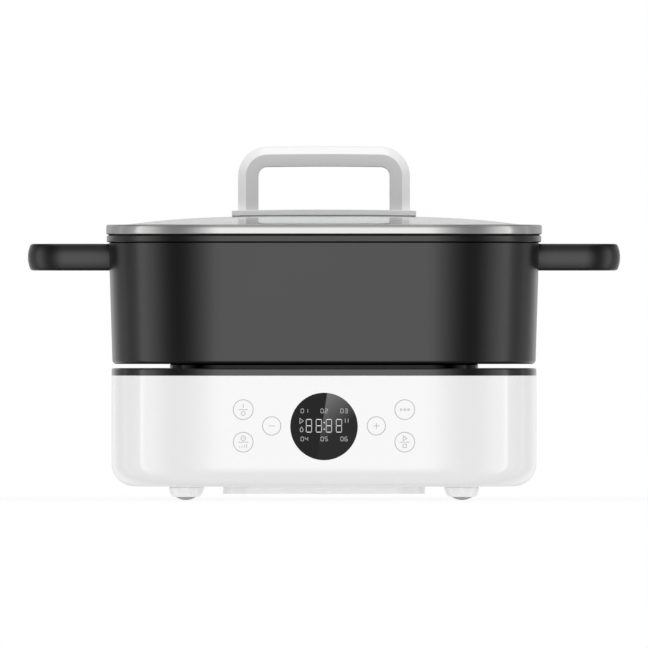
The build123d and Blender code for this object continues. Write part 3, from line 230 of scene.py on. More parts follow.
def moulded_abs_white():
    """Injection-moulded ABS, polished tool: a clean white with a faint orange peel in its gloss."""
    return surface("moulded_abs_white", settings().housing.shell, grain_mm=6.0, bump_mm=0.002,
                   roughness=0.04, spread=0.02, shift=0.006, IOR=1.84)


def abs_white_painted_fill():
    """The shell's moulded ABS painted lighter, to make up for the shade that falls under the base and round
    the lid handle: painted light, with a soft gloss.
    """
    return surface("abs_white_painted_fill", settings().housing.painted_fill_white, grain_mm=6.0, bump_mm=0.002,
                   roughness=0.06, spread=0.02, shift=0.004, IOR=1.6)


def moulded_abs_black():
    """Injection-moulded black ABS: deep, glossy, and lighter where it turns towards a light."""
    return surface("moulded_abs_black", settings().housing.cover, grain_mm=5.0, bump_mm=0.004,
                   roughness=0.14, spread=0.03, shift=0.1, IOR=1.72)


def polished_glass_ceramic():
    """Ground and polished glass ceramic: the blackest and smoothest surface of the base."""
    # its reflection is turned down to a fifth, which paints the shade under the pot's overhang on the hob
    return surface("polished_glass_ceramic", settings().housing.hob, grain_mm=9.0, bump_mm=0.001,
                   roughness=0.06, spread=0.02, shift=0.1, **{"IOR": 1.52, "Specular IOR Level": 0.2})


def cast_rubber_grey():
    """Moulded grey rubber: dull, with a fine tooth that catches a little dust."""
    return surface("cast_rubber_grey", settings().housing.pad, grain_mm=0.5, bump_mm=0.02,
                   roughness=0.7, spread=0.1, shift=0.06, IOR=1.45)


def sprayed_ceramic_coat():
    """Sprayed and baked ceramic coat on die-cast aluminium: satin near-black with a soft, wide sheen."""
    return surface("sprayed_ceramic_coat", settings().pot.coat, grain_mm=0.8, bump_mm=0.0035,
                   roughness=0.25, spread=0.03, shift=0.12, IOR=1.66)


def groove_painted_shadow():
    """Painted shadow: a matt black, darker than the coat and without shine, in the groove under the flange,
    so the line is dark from every side.
    """
    return surface("groove_painted_shadow", rgba(settings().pot.coat, 0.4), grain_mm=0.6, bump_mm=0.004,
                   roughness=0.9, spread=0.05, shift=0.1, **{"Specular IOR Level": 0.1})


def moulded_phenolic():
    """Compression-moulded phenolic: matt black that greys gently where light grazes it."""
    return surface("moulded_phenolic", settings().pot.loop, grain_mm=0.7, bump_mm=0.006,
                   roughness=0.34, spread=0.04, shift=0.12, IOR=1.7)


def polished_stainless():
    """Rolled and buffed stainless steel: bright, duller edge-on, its darkest reflections lifted by haze."""
    return surface("polished_stainless", settings().lid.steel, grain_mm=0.9, bump_mm=0.0006,
                   roughness=0.16, spread=0.02, shift=0.02,
                   **{"Metallic": 0.7, "Specular Tint": (0.35, 0.35, 0.35, 1.0)})


def tempered_glass():
    """Pressed and tempered clear glass: colourless face-on, mirror-bright when seen along it."""
    return surface("tempered_glass", settings().lid.glass, grain_mm=60.0, bump_mm=0.0001,
                   roughness=0.0, spread=0.0, shift=0.0, **{"IOR": 1.5, "Transmission Weight": 1.0})


def moulded_grey_core():
    """Spark-eroded grey ABS, the first shot of the handle: an even light grey with little shine."""
    return surface("moulded_grey_core", settings().lid.handle, grain_mm=0.6, bump_mm=0.004,
                   roughness=0.4, spread=0.04, shift=0.02, IOR=1.46)


def satin_grey_painted_fill():
    """Sprayed satin paint on the plate under the handle: a light grey set lighter than the handle's core as
    painted light against the shade on the plate, with a soft sheen on its edges.
    """
    return surface("satin_grey_painted_fill", settings().lid.plate, grain_mm=0.6, bump_mm=0.004,
                   roughness=0.3, spread=0.04, shift=0.02, IOR=1.5)


def screen_printed_ink():
    """Screen-printed ink: a flat light grey, a touch duller than the plastic under it."""
    return surface("screen_printed_ink", settings().panel.ink, grain_mm=0.4, bump_mm=0.002,
                   roughness=0.35, spread=0.03, shift=0.03, IOR=1.5)


# painted reflection: the glare of a light over the right half of the display window, painted into its colour
GLARE_LEAN = 8.1  # mm that its edge leans over the window's height
GLARE_EDGE = -1.7  # mm from the window's middle to that edge at half height
GLARE_BLUR = 0.5  # mm over which the edge fades in
GLARE_SLANT = -0.85  # how fast it fades sideways against its fade downwards
GLARE_FADE = 11.0  # mm below the middle at which it has faded
GLARE_REST = 0.03  # part of it that is left there


def smoked_acrylic_painted_glare():
    """Smoked acrylic, black, with a painted reflection: a lighter field of glare that fades from its top."""
    panel = settings().panel
    material = surface("smoked_acrylic_painted_glare", panel.window, grain_mm=7.0, bump_mm=0.001, roughness=0.05,
                       spread=0.02, shift=0.04, IOR=1.25)
    tree = material.node_tree
    shader = find_node(tree, "BSDF_PRINCIPLED")
    base = shader.inputs["Base Color"].links[0].from_socket
    place = add_node(tree, "ShaderNodeTexCoord")
    axes = add_node(tree, "ShaderNodeSeparateXYZ", {"Vector": place.outputs["Object"]})
    low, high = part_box("display_window")
    middle = (low[2] + high[2]) / 2
    # the painted glare's edge leans: its foot is further left than its top
    slope = mm(GLARE_LEAN) / (high[2] - low[2])
    lean = add_node(tree, "ShaderNodeMath",
                    {0: axes.outputs["Z"], 1: slope, 2: mm(GLARE_EDGE) - middle * slope},
                    operation="MULTIPLY_ADD")
    side = add_node(tree, "ShaderNodeMath", {0: axes.outputs["X"], 1: lean.outputs[0]}, operation="SUBTRACT")
    edge = add_node(tree, "ShaderNodeMapRange",
                    {"Value": side.outputs[0], "From Min": 0.0, "From Max": mm(GLARE_BLUR), "To Min": 0.0,
                     "To Max": 1.0})
    # brightest beside the edge at the top, gone at the lower right
    slant = add_node(tree, "ShaderNodeMath", {0: axes.outputs["X"], 1: GLARE_SLANT, 2: axes.outputs["Z"]},
                     operation="MULTIPLY_ADD")
    fade = add_node(tree, "ShaderNodeMapRange",
                    {"Value": slant.outputs[0], "From Min": middle - mm(GLARE_FADE), "From Max": high[2],
                     "To Min": GLARE_REST, "To Max": 1.0})
    amount = add_node(tree, "ShaderNodeMath", {0: edge.outputs[0], 1: fade.outputs[0]}, operation="MULTIPLY")
    painted_glare = add_node(tree, "ShaderNodeMixRGB",
                    {"Fac": amount.outputs[0], "Color1": base, "Color2": rgba(panel.sheen)})
    tree.links.new(painted_glare.outputs["Color"], shader.inputs["Base Color"])
    return material


def lit_segment(name, level):
    """Light-guide figures lit from behind: a soft white that stays below the housing's own white."""
    lit = rgba(settings().panel.lit, level)
    return surface(name, lit, grain_mm=0.5, bump_mm=0.001, roughness=0.4, spread=0.02, shift=0.02,
                   **{"Emission Color": lit, "Emission Strength": 0.25, "IOR": 1.3})


# name: hex colour, metallic, roughness, grain in mm, bump in mm
INNER_FINISHES = {
    "solder_masked_board": (0x1F6B3C, 0.0, 0.35, 1.2, 0.02),  # woven glass under green mask
    "moulded_nylon_black": (0x1A1A1B, 0.0, 0.45, 0.8, 0.02),  # dull black with a fine grain
    "conductive_foam": (0x2A2A2C, 0.0, 0.9, 0.6, 0.15),  # open cells
    "nickel_plated_brass": (0xC9C4B6, 1.0, 0.22, 0.5, 0.004),  # bright, slightly yellow
    "sintered_bronze": (0x9A6B3F, 1.0, 0.5, 0.3, 0.02),  # dull brown with pores
    "zinc_plated_steel": (0xB9BBBE, 1.0, 0.32, 0.6, 0.006),  # bluish, faintly clouded
    "stamped_lamination": (0x5C5E61, 1.0, 0.5, 0.5, 0.02),  # dark stacked sheet
    "lacquered_litz": (0xB4683A, 1.0, 0.38, 1.5, 0.15),  # twisted copper strands under lacquer
    "glass_filled_nylon": (0xCFC9B8, 0.0, 0.5, 0.8, 0.03),  # cream, with glass fibre at the surface
    "sintered_ferrite": (0x2C2D30, 0.0, 0.6, 0.4, 0.02),  # charcoal stone
    "mica_board": (0xC6BC9C, 0.0, 0.4, 3.0, 0.02),  # pale flakes that glint
    "moulded_silicone": (0xB7B7B4, 0.0, 0.55, 0.8, 0.01),  # milky and soft
    "drawn_aluminium": (0xC4C6C8, 1.0, 0.3, 0.5, 0.006),  # clean grey metal
    "punched_steel_disc": (0x9EA0A3, 1.0, 0.36, 1.0, 0.02),  # brushed magnetic steel
    "black_silicone": (0x050505, 0.0, 0.85, 0.8, 0.01),  # matt black seal
}

INNER_NODES = {
    "solder_masked_board": ("control_board", "power_board"),
    "moulded_nylon_black": ("display_module", "inlet_socket", "fan_frame", "fan_rotor", "filter_capacitor",
                            "power_switch"),
    "conductive_foam": ("touch_pads",),
    "nickel_plated_brass": ("inlet_pins",),
    "sintered_bronze": ("fan_bearing",),
    "zinc_plated_steel": ("cover_screws", "plinth_screws", "fan_screws", "former_screws", "power_screws",
                          "control_screws", "inlet_screws", "loop_screws", "lid_screws", "lid_washers",
                          "fan_shaft"),
    "stamped_lamination": ("fan_stator",),
    "lacquered_litz": ("coil_winding",),
    "glass_filled_nylon": ("coil_former",),
    "sintered_ferrite": ("ferrite_bar_1", "ferrite_bar_2", "ferrite_bar_3", "ferrite_bar_4", "filter_choke"),
    "mica_board": ("insulation_sheet",),
    "moulded_silicone": ("sensor_holder", "handle_seats"),
    "drawn_aluminium": ("thermistor", "heat_sink"),
    "punched_steel_disc": ("induction_disc",),
    "black_silicone": ("lid_seal",),
}


def finish_nodes(material, *nodes):
    """Give CAD nodes this material."""
    for node in nodes:
        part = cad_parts[node]
        if not part.material_slots:
            part.data.materials.append(material)
        for slot in part.material_slots:
            slot.material = material


# ------------------------------------------------------------------ mesh tools
SIDE_CUTS = 7  # parts of each flat side of a ring


def plan(half, corner, level):
    """One ring of a rounded square at this level, in metres, counter-clockwise from the front side."""
    cuts = settings().pot.corner_cuts
    centre = half - corner
    ring = []
    for quarter in range(4):
        turn = math.radians(90 * quarter - 45)
        corner_x = centre * math.copysign(1, math.cos(turn))
        corner_y = centre * math.copysign(1, math.sin(turn))
        start = 90 * (quarter - 1)
        for step in range(cuts + 1):
            angle = math.radians(start + 90 * step / cuts)
            ring.append((corner_x + corner * math.cos(angle), corner_y + corner * math.sin(angle), level))
        # flat stretch to the next corner
        along = math.radians(start + 90)
        across = (-math.sin(along), math.cos(along))
        for step in range(1, SIDE_CUTS):
            run = 2 * centre * step / SIDE_CUTS
            x, y, _ = ring[-step]
            ring.append((x + across[0] * run, y + across[1] * run, level))
    return ring


def object_from(name, mesh_builder, material, body, slot, sharp=30.0, *replaced):
    """Make an object from a bmesh, shade it, tie it to its body, and hide the nodes it replaces.

    material is one material, or several in the order of the faces' material numbers, sharp is the
    angle in degrees from which an edge is drawn sharp, and slot is not used.
    """
    mesh = bpy.data.meshes.new(name)
    bmesh.ops.recalc_face_normals(mesh_builder, faces=mesh_builder.faces[:])
    mesh_builder.to_mesh(mesh)
    mesh_builder.free()
    mesh.shade_smooth()
    mesh.set_sharp_from_angle(angle=math.radians(sharp))
    for layer in material if isinstance(material, tuple) else (material,):
        mesh.materials.append(layer)
    piece = bpy.data.objects.new(name, mesh)
    bpy.context.scene.collection.objects.link(piece)
    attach(piece, body)
    if replaced:
        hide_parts(*replaced)


def join_rings(builder, rings, closed):
    """Skin a list of equal rings with quads; closed also joins the last ring to the first."""
    loops = [[builder.verts.new(point) for point in ring] for ring in rings]
    pairs = list(zip(loops, loops[1:]))
    if closed:
        pairs.append((loops[-1], loops[0]))
    for lower, upper in pairs:
        count = len(lower)
        for index in range(count):
            following = (index + 1) % count
            builder.faces.new((lower[index], lower[following], upper[following], upper[index]))
    if not closed:
        builder.faces.new(loops[0][::-1])
        builder.faces.new(loops[-1])


def arc(centre_half, centre_level, radius, start, end, steps):
    """Points (half, level) of a section arc, angles in degrees from the outward direction."""
    for step in range(steps + 1):
        angle = math.radians(start + (end - start) * step / steps)
        yield centre_half + radius * math.cos(angle), centre_level + radius * math.sin(angle)


def swept_square(section, corner_of, closed):
    """Sweep a section of (half, level) points in metres round a rounded square."""
    builder = bmesh.new()
    join_rings(builder, [plan(half, corner_of(half), level) for half, level in section], closed)
    return builder


def lathe(profile, centre, cuts=48):
    """Turn a profile of (radius, level) points in mm about an upright axis at centre, in metres."""
    builder = bmesh.new()
    turns = [math.radians(360 * step / cuts) for step in range(cuts)]
    join_rings(builder, [[(centre[0] + mm(radius) * math.cos(turn), centre[1] + mm(radius) * math.sin(turn),
                           mm(level)) for turn in turns] for radius, level in profile], closed=False)
    return builder


def swept_path(path, normal, section):
    """Sweep a closed section of (outward, along normal) points along an open planar path."""
    builder = bmesh.new()
    rings = []
    for index, point in enumerate(path):
        before = path[max(index - 1, 0)]
        after = path[min(index + 1, len(path) - 1)]
        tangent = (after - before).normalized()
        outward = tangent.cross(normal).normalized()
        rings.append([point + outward * out + normal * up for out, up in section])
    join_rings(builder, rings, closed=False)
    return builder


def rounded_section(corners, radii, steps):
    """A closed section of corner points, each rounded by its own radius or by what its sides allow."""
    points = []
    count = len(corners)
    for index, corner in enumerate(corners):
        here = Vector(corner)
        back = Vector(corners[index - 1]) - here
        ahead = Vector(corners[(index + 1) % count]) - here
        room = 0.49 * min(back.length, ahead.length)  # so that two rounds never meet
        reach = min(radii[index] / math.tan(back.angle(ahead) / 2), room)
        start = here + back.normalized() * reach
        end = here + ahead.normalized() * reach
        for step in range(steps + 1):
            share = step / steps
            points.append((1 - share) ** 2 * start + 2 * share * (1 - share) * here + share**2 * end)
    return [(point.x, point.y) for point in points]


def bend(centre, radius, start, end, steps=14):
    """Points of a path's bend about a centre (u, v), from one angle to another in degrees."""
    for step in range(steps + 1):
        angle = math.radians(start + (end - start) * step / steps)
        yield centre[0] + radius * math.cos(angle), centre[1] + radius * math.sin(angle)


# ------------------------------------------------------------------ base housing
class HOTPOT_OT_housing(bpy.types.Operator):
    """Finish the shell, plinth, cover and hob glass"""

    bl_idname = "hotpot.housing"
    bl_label = "Base housing"

    def execute(self, context):
        finish_nodes(moulded_abs_white(), "base_shell")
        finish_nodes(abs_white_painted_fill(), "plinth")
        finish_nodes(moulded_abs_black(), "top_cover")
        finish_nodes(polished_glass_ceramic(), "hob_glass")
        return {"FINISHED"}


# ------------------------------------------------------------------ feet
CUP_INSET = 0.4  # of the bowl within the solid cup
CUP_REACH = 2.7  # how far the bowl curves in
CUP_GROOVE = 0.5  # shadow line under the shell
CUP_STEPS = 12
PAD_SHOWS = 7.2  # radius at which the pad leaves the cup
PAD_DROP = 2.2  # height of its dome
PAD_LAP = 1.0  # height of its edge inside the cup


class HOTPOT_OT_feet(bpy.types.Operator):
    """Build the four bowl-shaped foot cups and their rubber pads"""

    bl_idname = "hotpot.feet"
    bl_label = "Feet"

    def execute(self, context):
        cups = [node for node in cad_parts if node.startswith("foot_cup")]
        if not cups:
            raise RuntimeError("the frame has no foot cups")
        for cup in cups:
            place = cup.removeprefix("foot_cup_")
            low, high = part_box(cup)
            centre = ((low[0] + high[0]) / 2, (low[1] + high[1]) / 2)
            radius = (high[0] - low[0]) / 2 / MM - CUP_INSET
            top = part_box("base_shell")[0][2] / MM
            start = top - 2 * CUP_GROOVE
            bowl = [(radius - CUP_GROOVE, top), (radius - CUP_GROOVE, top - CUP_GROOVE), (radius, start)]
            for step in range(1, CUP_STEPS + 1):
                rise = math.cos(math.radians(90 * step / CUP_STEPS))
                bowl.append((radius - CUP_REACH * (1 - rise**0.5), PAD_DROP + (start - PAD_DROP) * rise))
            bowl += [(PAD_SHOWS, PAD_DROP), (PAD_SHOWS, PAD_DROP + PAD_LAP)]
            object_from(f"foot_bowl_{place}", lathe(bowl, centre), abs_white_painted_fill(), "base", "shell_white",
                        40.0, cup)
            dome = [(PAD_SHOWS, PAD_DROP + PAD_LAP), (PAD_SHOWS, PAD_DROP)]
            for step in range(CUP_STEPS - 1, 0, -1):
                share = step / CUP_STEPS
                dome.append((PAD_SHOWS * share, PAD_DROP * share**2))
            object_from(f"foot_dome_{place}", lathe(dome, centre), cast_rubber_grey(), "base", "foot_rubber",
                        40.0, f"foot_pad_{place}")
        return {"FINISHED"}


# ------------------------------------------------------------------ printed panel
INK_THICKNESS = 0.05
PANEL_LEVEL = 51.9  # height of the middle of the keys and the figures
KEY_OUTER = 56.2  # middle of the four large rings, to either side
KEY_INNER = 36.4  # middle of the two small rings
KEY_RISE = 11.3  # of the large rings over and under that level
SYMBOL_LINE = 0.4
ICON_LINE = 0.32
FIGURE_LINE = 0.46
FIGURE_GAP = 0.3  # between a figure's bars, as a part of their width
MITRE_LIMIT = 0.5  # least cosine of half a bend that is still mitred in full

FIGURE_SEGMENTS = {
    "0": "abcdef", "1": "bc", "2": "abged", "3": "abgcd", "4": "fgbc", "5": "afgcd", "6": "afgedc",
    "8": "abcdefg",
}


def prism(builder, outline, front):
    """A layer of ink in an outline of (x, z) points in mm; front is its face's y in mm."""
    faces = []
    for y in (front, front + INK_THICKNESS):
        faces.append([builder.verts.new(mm(x, y, z)) for x, z in outline])
    builder.faces.new(faces[0])
    builder.faces.new(faces[1][::-1])
    count = len(outline)
    for index in range(count):
        after = (index + 1) % count
        builder.faces.new((faces[0][index], faces[1][index], faces[1][after], faces[0][after]))


def ribbon(builder, points, width, front, closed=False):
    """A line of ink of this width along (x, z) points in mm, mitred at its corners."""
    count = len(points)
    left, right = [], []
    for index, point in enumerate(points):
        here = Vector(point)
        before = Vector(points[index - 1]) if closed or index else here
        after = Vector(points[(index + 1) % count]) if closed or index < count - 1 else here
        into = (here - before).normalized() if before != here else (after - here).normalized()
        out = (after - here).normalized() if after != here else into
        middle = (into + out).normalized()
        across = Vector((-middle.y, middle.x))
        reach = width / 2 / max(across.dot(Vector((-into.y, into.x))), MITRE_LIMIT)
        left.append(here + across * reach)
        right.append(here - across * reach)
    rows = []
    for side in (left, right):
        for y in (front, front + INK_THICKNESS):
            rows.append([builder.verts.new(mm(p.x, y, p.y)) for p in side])
    left_front, left_back, right_front, right_back = rows
    around = (left_front, right_front, right_back, left_back)
    last = count if closed else count - 1
    for index in range(last):
        after = (index + 1) % count
        for side, row in enumerate(around):
            following = around[(side + 1) % 4]
            builder.faces.new((row[index], row[after], following[after], following[index]))
    if not closed:
        builder.faces.new([row[0] for row in around])
        builder.faces.new([row[-1] for row in around][::-1])


def circle(x, z, radius, steps):
    """Points of a circle in mm."""
    turns = [math.radians(360 * step / steps) for step in range(steps)]
    return [(x + radius * math.cos(turn), z + radius * math.sin(turn)) for turn in turns]


def segment_outline(x, z, width, height, line, letter):
    """Outline of one bar of a seven-bar figure whose lower left corner is at (x, z)."""
    gap = line * FIGURE_GAP
    half = line / 2
    left, right = x + half, x + width - half
    rows = {"d": z + half, "g": z + height / 2, "a": z + height - half}
    if letter in rows:
        level = rows[letter]
        ends = (left + gap, right - gap)
        return [(ends[0], level), (ends[0] + half, level + half), (ends[1] - half, level + half),
                (ends[1], level), (ends[1] - half, level - half), (ends[0] + half, level - half)]
    column = left if letter in "ef" else right
    low, high = (rows["d"], rows["g"]) if letter in "ec" else (rows["g"], rows["a"])
    low, high = low + gap, high - gap
    return [(column, low), (column + half, low + half), (column + half, high - half),
            (column, high), (column - half, high - half), (column - half, low + half)]


def figure(builder, digit, x, z, width, height, line, front, letters="abcdefg"):
    """One seven-bar figure; letters limits it to some of its bars."""
    for letter in FIGURE_SEGMENTS[digit]:
        if letter in letters:
            prism(builder, segment_outline(x, z, width, height, line, letter), front)


def stroke(points, width=SYMBOL_LINE, closed=False):
    """One line of a sign: its points in mm from the sign's own place, its width, and whether it closes."""
    return points, width, closed


def draw_sign(builder, sign, x, z, front):
    """Print all strokes of a sign with its own place at (x, z)."""
    for points, width, closed in sign:
        outline = [(x + across, z + up) for across, up in points]
        ribbon(builder, outline, width, front, closed)


SIGN_REACH = 2.1  # half-length of the minus and plus
KEY_RULE = stroke([(-3.6, 0.0), (3.6, 0.0)])
MINUS_SIGN = [stroke([(-SIGN_REACH, 0.0), (SIGN_REACH, 0.0)])]
PLUS_SIGN = MINUS_SIGN + [stroke([(0.0, end * SYMBOL_LINE / 2), (0.0, end * SIGN_REACH)]) for end in (-1, 1)]
# on and off: a bar over a circle, with a short rule between
POWER_SIGN = [
    stroke([(0.0, 1.2), (0.0, 4.0)]),
    stroke([(-3.1, 0.0), (3.1, 0.0)]),
    stroke(circle(0.0, -2.6, 1.35, 32), closed=True),
]
# time and level: a clock over rising bars
TIMER_SIGN = [
    stroke(circle(0.0, 2.7, 1.6, 32), closed=True),
    stroke([(0.0, 3.7), (0.0, 2.6), (0.8, 2.6)], ICON_LINE),
    KEY_RULE,
    *(stroke([(1.6 * step - 2.4, -3.8), (1.6 * step - 2.4, 0.6 * step - 3.0)]) for step in range(4)),
]
# choice of programme: three dots
PROGRAMME_SIGN = [stroke(circle(x, 0.0, 0.65, 24), closed=True) for x in (-2.6, 0.0, 2.6)]
# start and stop: a triangle over a square
START_SIGN = [
    stroke([(-1.1, 1.1), (1.6, 2.7), (-1.1, 4.3)], closed=True),
    KEY_RULE,
    stroke([(-1.2, -3.8), (1.2, -3.8), (1.2, -1.4), (-1.2, -1.4)], closed=True),
]

CLOCK_COLUMNS = (-12.6, -5.7, 1.3, 8.3)  # left edges of the large figures
CLOCK_LIFT = 0.1  # of their middle over the panel's level
COLON_COLUMN = 0.15
COLON_SHARES = (0.25, 0.74)  # heights of its dots, as parts of the figures' height
COLON_RADIUS = 0.42
NUMBER_COLUMNS = (-16.2, -2.4, 11.4)
NUMBER_ROWS = ((60.8, ("01", "02", "03")), (41.3, ("04", "05", "06")))
NUMBER_PITCH = 2.9  # from one of its figures to the next
NUMBER_WIDTH = 2.2
NUMBER_HEIGHT = 3.1
# running triangle, level drop and seconds mark, placed from the foot of the large figures
CLOCK_SIGNS = [
    stroke([(-16.8, 6.2), (-14.3, 8.0), (-16.8, 9.8)], ICON_LINE, closed=True),
    stroke([(-15.6, 3.9), (-14.4, 2.0), (-14.9, 0.5), (-16.3, 0.5), (-16.8, 2.0)], ICON_LINE, closed=True),
    *(stroke([(x, 6.8), (x, 9.6)], ICON_LINE) for x in (14.8, 16.8)),
]


class HOTPOT_OT_panel(bpy.types.Operator):
    """Print the key rings and symbols and light the round display"""

    bl_idname = "hotpot.panel"
    bl_label = "Key panel and display"

    def execute(self, context):
        panel = settings().panel
        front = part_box("base_shell")[0][1] / MM - INK_THICKNESS
        finish_nodes(smoked_acrylic_painted_glare(), "display_window")
        self.print_keys(panel, front)
        self.light_display(panel, front)
        return {"FINISHED"}

    def print_keys(self, panel, front):
        """Six rings with plain signs in them."""
        builder = bmesh.new()
        line = panel.ring_line / MM
        high, low = PANEL_LEVEL + KEY_RISE, PANEL_LEVEL - KEY_RISE
        for x, z, size, sign in (
            (-KEY_OUTER, high, panel.ring_large, POWER_SIGN),
            (-KEY_OUTER, low, panel.ring_large, TIMER_SIGN),
            (KEY_OUTER, high, panel.ring_large, PROGRAMME_SIGN),
            (KEY_OUTER, low, panel.ring_large, START_SIGN),
            (-KEY_INNER, PANEL_LEVEL, panel.ring_small, MINUS_SIGN),
            (KEY_INNER, PANEL_LEVEL, panel.ring_small, PLUS_SIGN),
        ):
            ring = stroke(circle(0.0, 0.0, size / MM / 2 - line / 2, 72), line, closed=True)
            draw_sign(builder, [ring, *sign], x, z, front)
        object_from("key_print", builder, screen_printed_ink(), "base", "shell_white")

    def light_display(self, panel, front):
        """A clock of four figures, a row of plain numbers above and below, and small signs."""
        bright, dim = bmesh.new(), bmesh.new()
        width, height = panel.figure_width / MM, panel.figure_height / MM
        foot = PANEL_LEVEL + CLOCK_LIFT - height / 2
        for x in CLOCK_COLUMNS:
            figure(bright, "8", x, foot, width, height, FIGURE_LINE, front, "adg")
            figure(dim, "8", x, foot, width, height, FIGURE_LINE, front, "bcef")
        for share in COLON_SHARES:
            prism(bright, circle(COLON_COLUMN, foot + share * height, COLON_RADIUS, 12), front)
        draw_sign(dim, CLOCK_SIGNS, 0.0, foot, front)
        for level, numbers in NUMBER_ROWS:
            for x, number in zip(NUMBER_COLUMNS, numbers):
                for place, digit in enumerate(number):
                    left = x + NUMBER_PITCH * place
                    figure(dim, digit, left, level, NUMBER_WIDTH, NUMBER_HEIGHT, ICON_LINE, front)
        object_from("display_figures_bright", bright, lit_segment("lit_bar", 1.0), "base", "window_black")
        object_from("display_figures_dim", dim, lit_segment("lit_line", 0.62), "base", "window_black")


# ------------------------------------------------------------------ hidden and rear pieces
class HOTPOT_OT_fittings(bpy.types.Operator):
    """Finish the rear inlet, screws, seal, electronics, coil and fan"""

    bl_idname = "hotpot.fittings"
    bl_label = "Inlet and inner parts"

    def execute(self, context):
        for name, nodes in INNER_NODES.items():
            tint, metallic, roughness, grain, bump = INNER_FINISHES[name]
            material = surface(name, linear(tint), grain, bump, roughness, spread=0.05, shift=0.12,
                               Metallic=metallic)
            finish_nodes(material, *nodes)
        return {"FINISHED"}


# ------------------------------------------------------------------ pot
POT_DRAFT = 2.6  # how far the wall leans out over its height
POT_FOOT_ROUND = 2.8
POT_FOOT_REACH = 0.1  # of that round beyond the foot of the wall
POT_WALL = 3.0
POT_FLOOR = 4.5
POT_FLOOR_ROUND = 9.0
POT_MOUTH_ROUND = 0.5
POT_CORNER = 80.0
DISC_PLAY = 0.05  # round the steel disc in the underside
FLANGE_LIP = 1.4
FLANGE_HEIGHT = 4.3
FLANGE_ROUND = 0.5  # upper edge
FLANGE_BREAK = 0.2  # lower edge
# the groove under the flange is coloured with painted shadow
GROOVE_DEPTH = 0.8  # of the painted groove under the flange
GROOVE_HEIGHT = 0.95
GROOVE_SLOPE = 0.2  # part of that height over which its lower edge slopes in
GROOVE_SLACK = 0.1  # within which a face counts as the groove's


class HOTPOT_OT_pot(bpy.types.Operator):
    """Build the cast pot with its flange and cooking space"""

    bl_idname = "hotpot.pot"
    bl_label = "Cast pot"

    def execute(self, context):
        low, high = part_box("pot_body")
        bottom, rim = low[2] / MM, high[2] / MM
        flange_half = high[1] / MM
        wall = flange_half - FLANGE_LIP
        flange = rim - FLANGE_HEIGHT
        foot = wall - POT_DRAFT
        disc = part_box("induction_disc")
        disc_half, disc_top = disc[1][0] / MM + DISC_PLAY, disc[1][2] / MM
        lean = math.degrees(math.atan(POT_DRAFT / (flange - bottom)))
        section = [(disc_half, disc_top), (disc_half, bottom)]
        section += arc(foot - POT_FOOT_ROUND + POT_FOOT_REACH, bottom + POT_FOOT_ROUND, POT_FOOT_ROUND, -90,
                       -lean, 6)
        groove, groove_foot = wall - GROOVE_DEPTH, flange - GROOVE_HEIGHT
        groove_start = flange - (1 - GROOVE_SLOPE) * GROOVE_HEIGHT
        section += [(wall, groove_foot), (groove, groove_start), (groove, flange)]
        section += [(flange_half - FLANGE_BREAK, flange), (flange_half, flange + FLANGE_BREAK)]
        section += arc(flange_half - FLANGE_ROUND, rim - FLANGE_ROUND, FLANGE_ROUND, 0, 90, 4)
        mouth = wall - POT_WALL
        section += arc(mouth + POT_MOUTH_ROUND, rim - POT_MOUTH_ROUND, POT_MOUTH_ROUND, 90, 180, 3)
        floor_half = mouth - POT_DRAFT
        section += arc(floor_half - POT_FLOOR_ROUND, bottom + POT_FLOOR + POT_FLOOR_ROUND, POT_FLOOR_ROUND, 0,
                       -90, 8)

        def corner_of(half):
            """The recess of the disc is round; all else keeps the wall's distance from its corners."""
            if half < mm(disc_half + DISC_PLAY):
                return half
            return half - (mm(wall) - mm(POT_CORNER))

        builder = swept_square([mm(half, level) for half, level in section], corner_of, closed=False)
        # faces in the groove take the second material, a painted shadow
        for face in builder.faces:
            levels = [vertex.co.z / MM for vertex in face.verts]
            over_foot = min(levels) > groove_foot - GROOVE_SLACK
            face.material_index = int(over_foot and max(levels) < flange + GROOVE_SLACK)
        coat_and_painted_shadow = (sprayed_ceramic_coat(), groove_painted_shadow())
        object_from("pot_casting", builder, coat_and_painted_shadow, "pot", "pot_cast", 40.0, "pot_body")
        return {"FINISHED"}


# ------------------------------------------------------------------ side loops
LOOP_BAR = 16.0
LOOP_THICKNESS = 18.6
LOOP_CORNER = 25.5
LOOP_CROWN = 1.9  # fall of the outer face towards its edges
LOOP_RIDGE = 0.35  # part of the height that the top of that crown takes
LOOP_ROUNDS = (3.5, 2.6, 40.0)  # of the section's inner corners, outer edges and crown


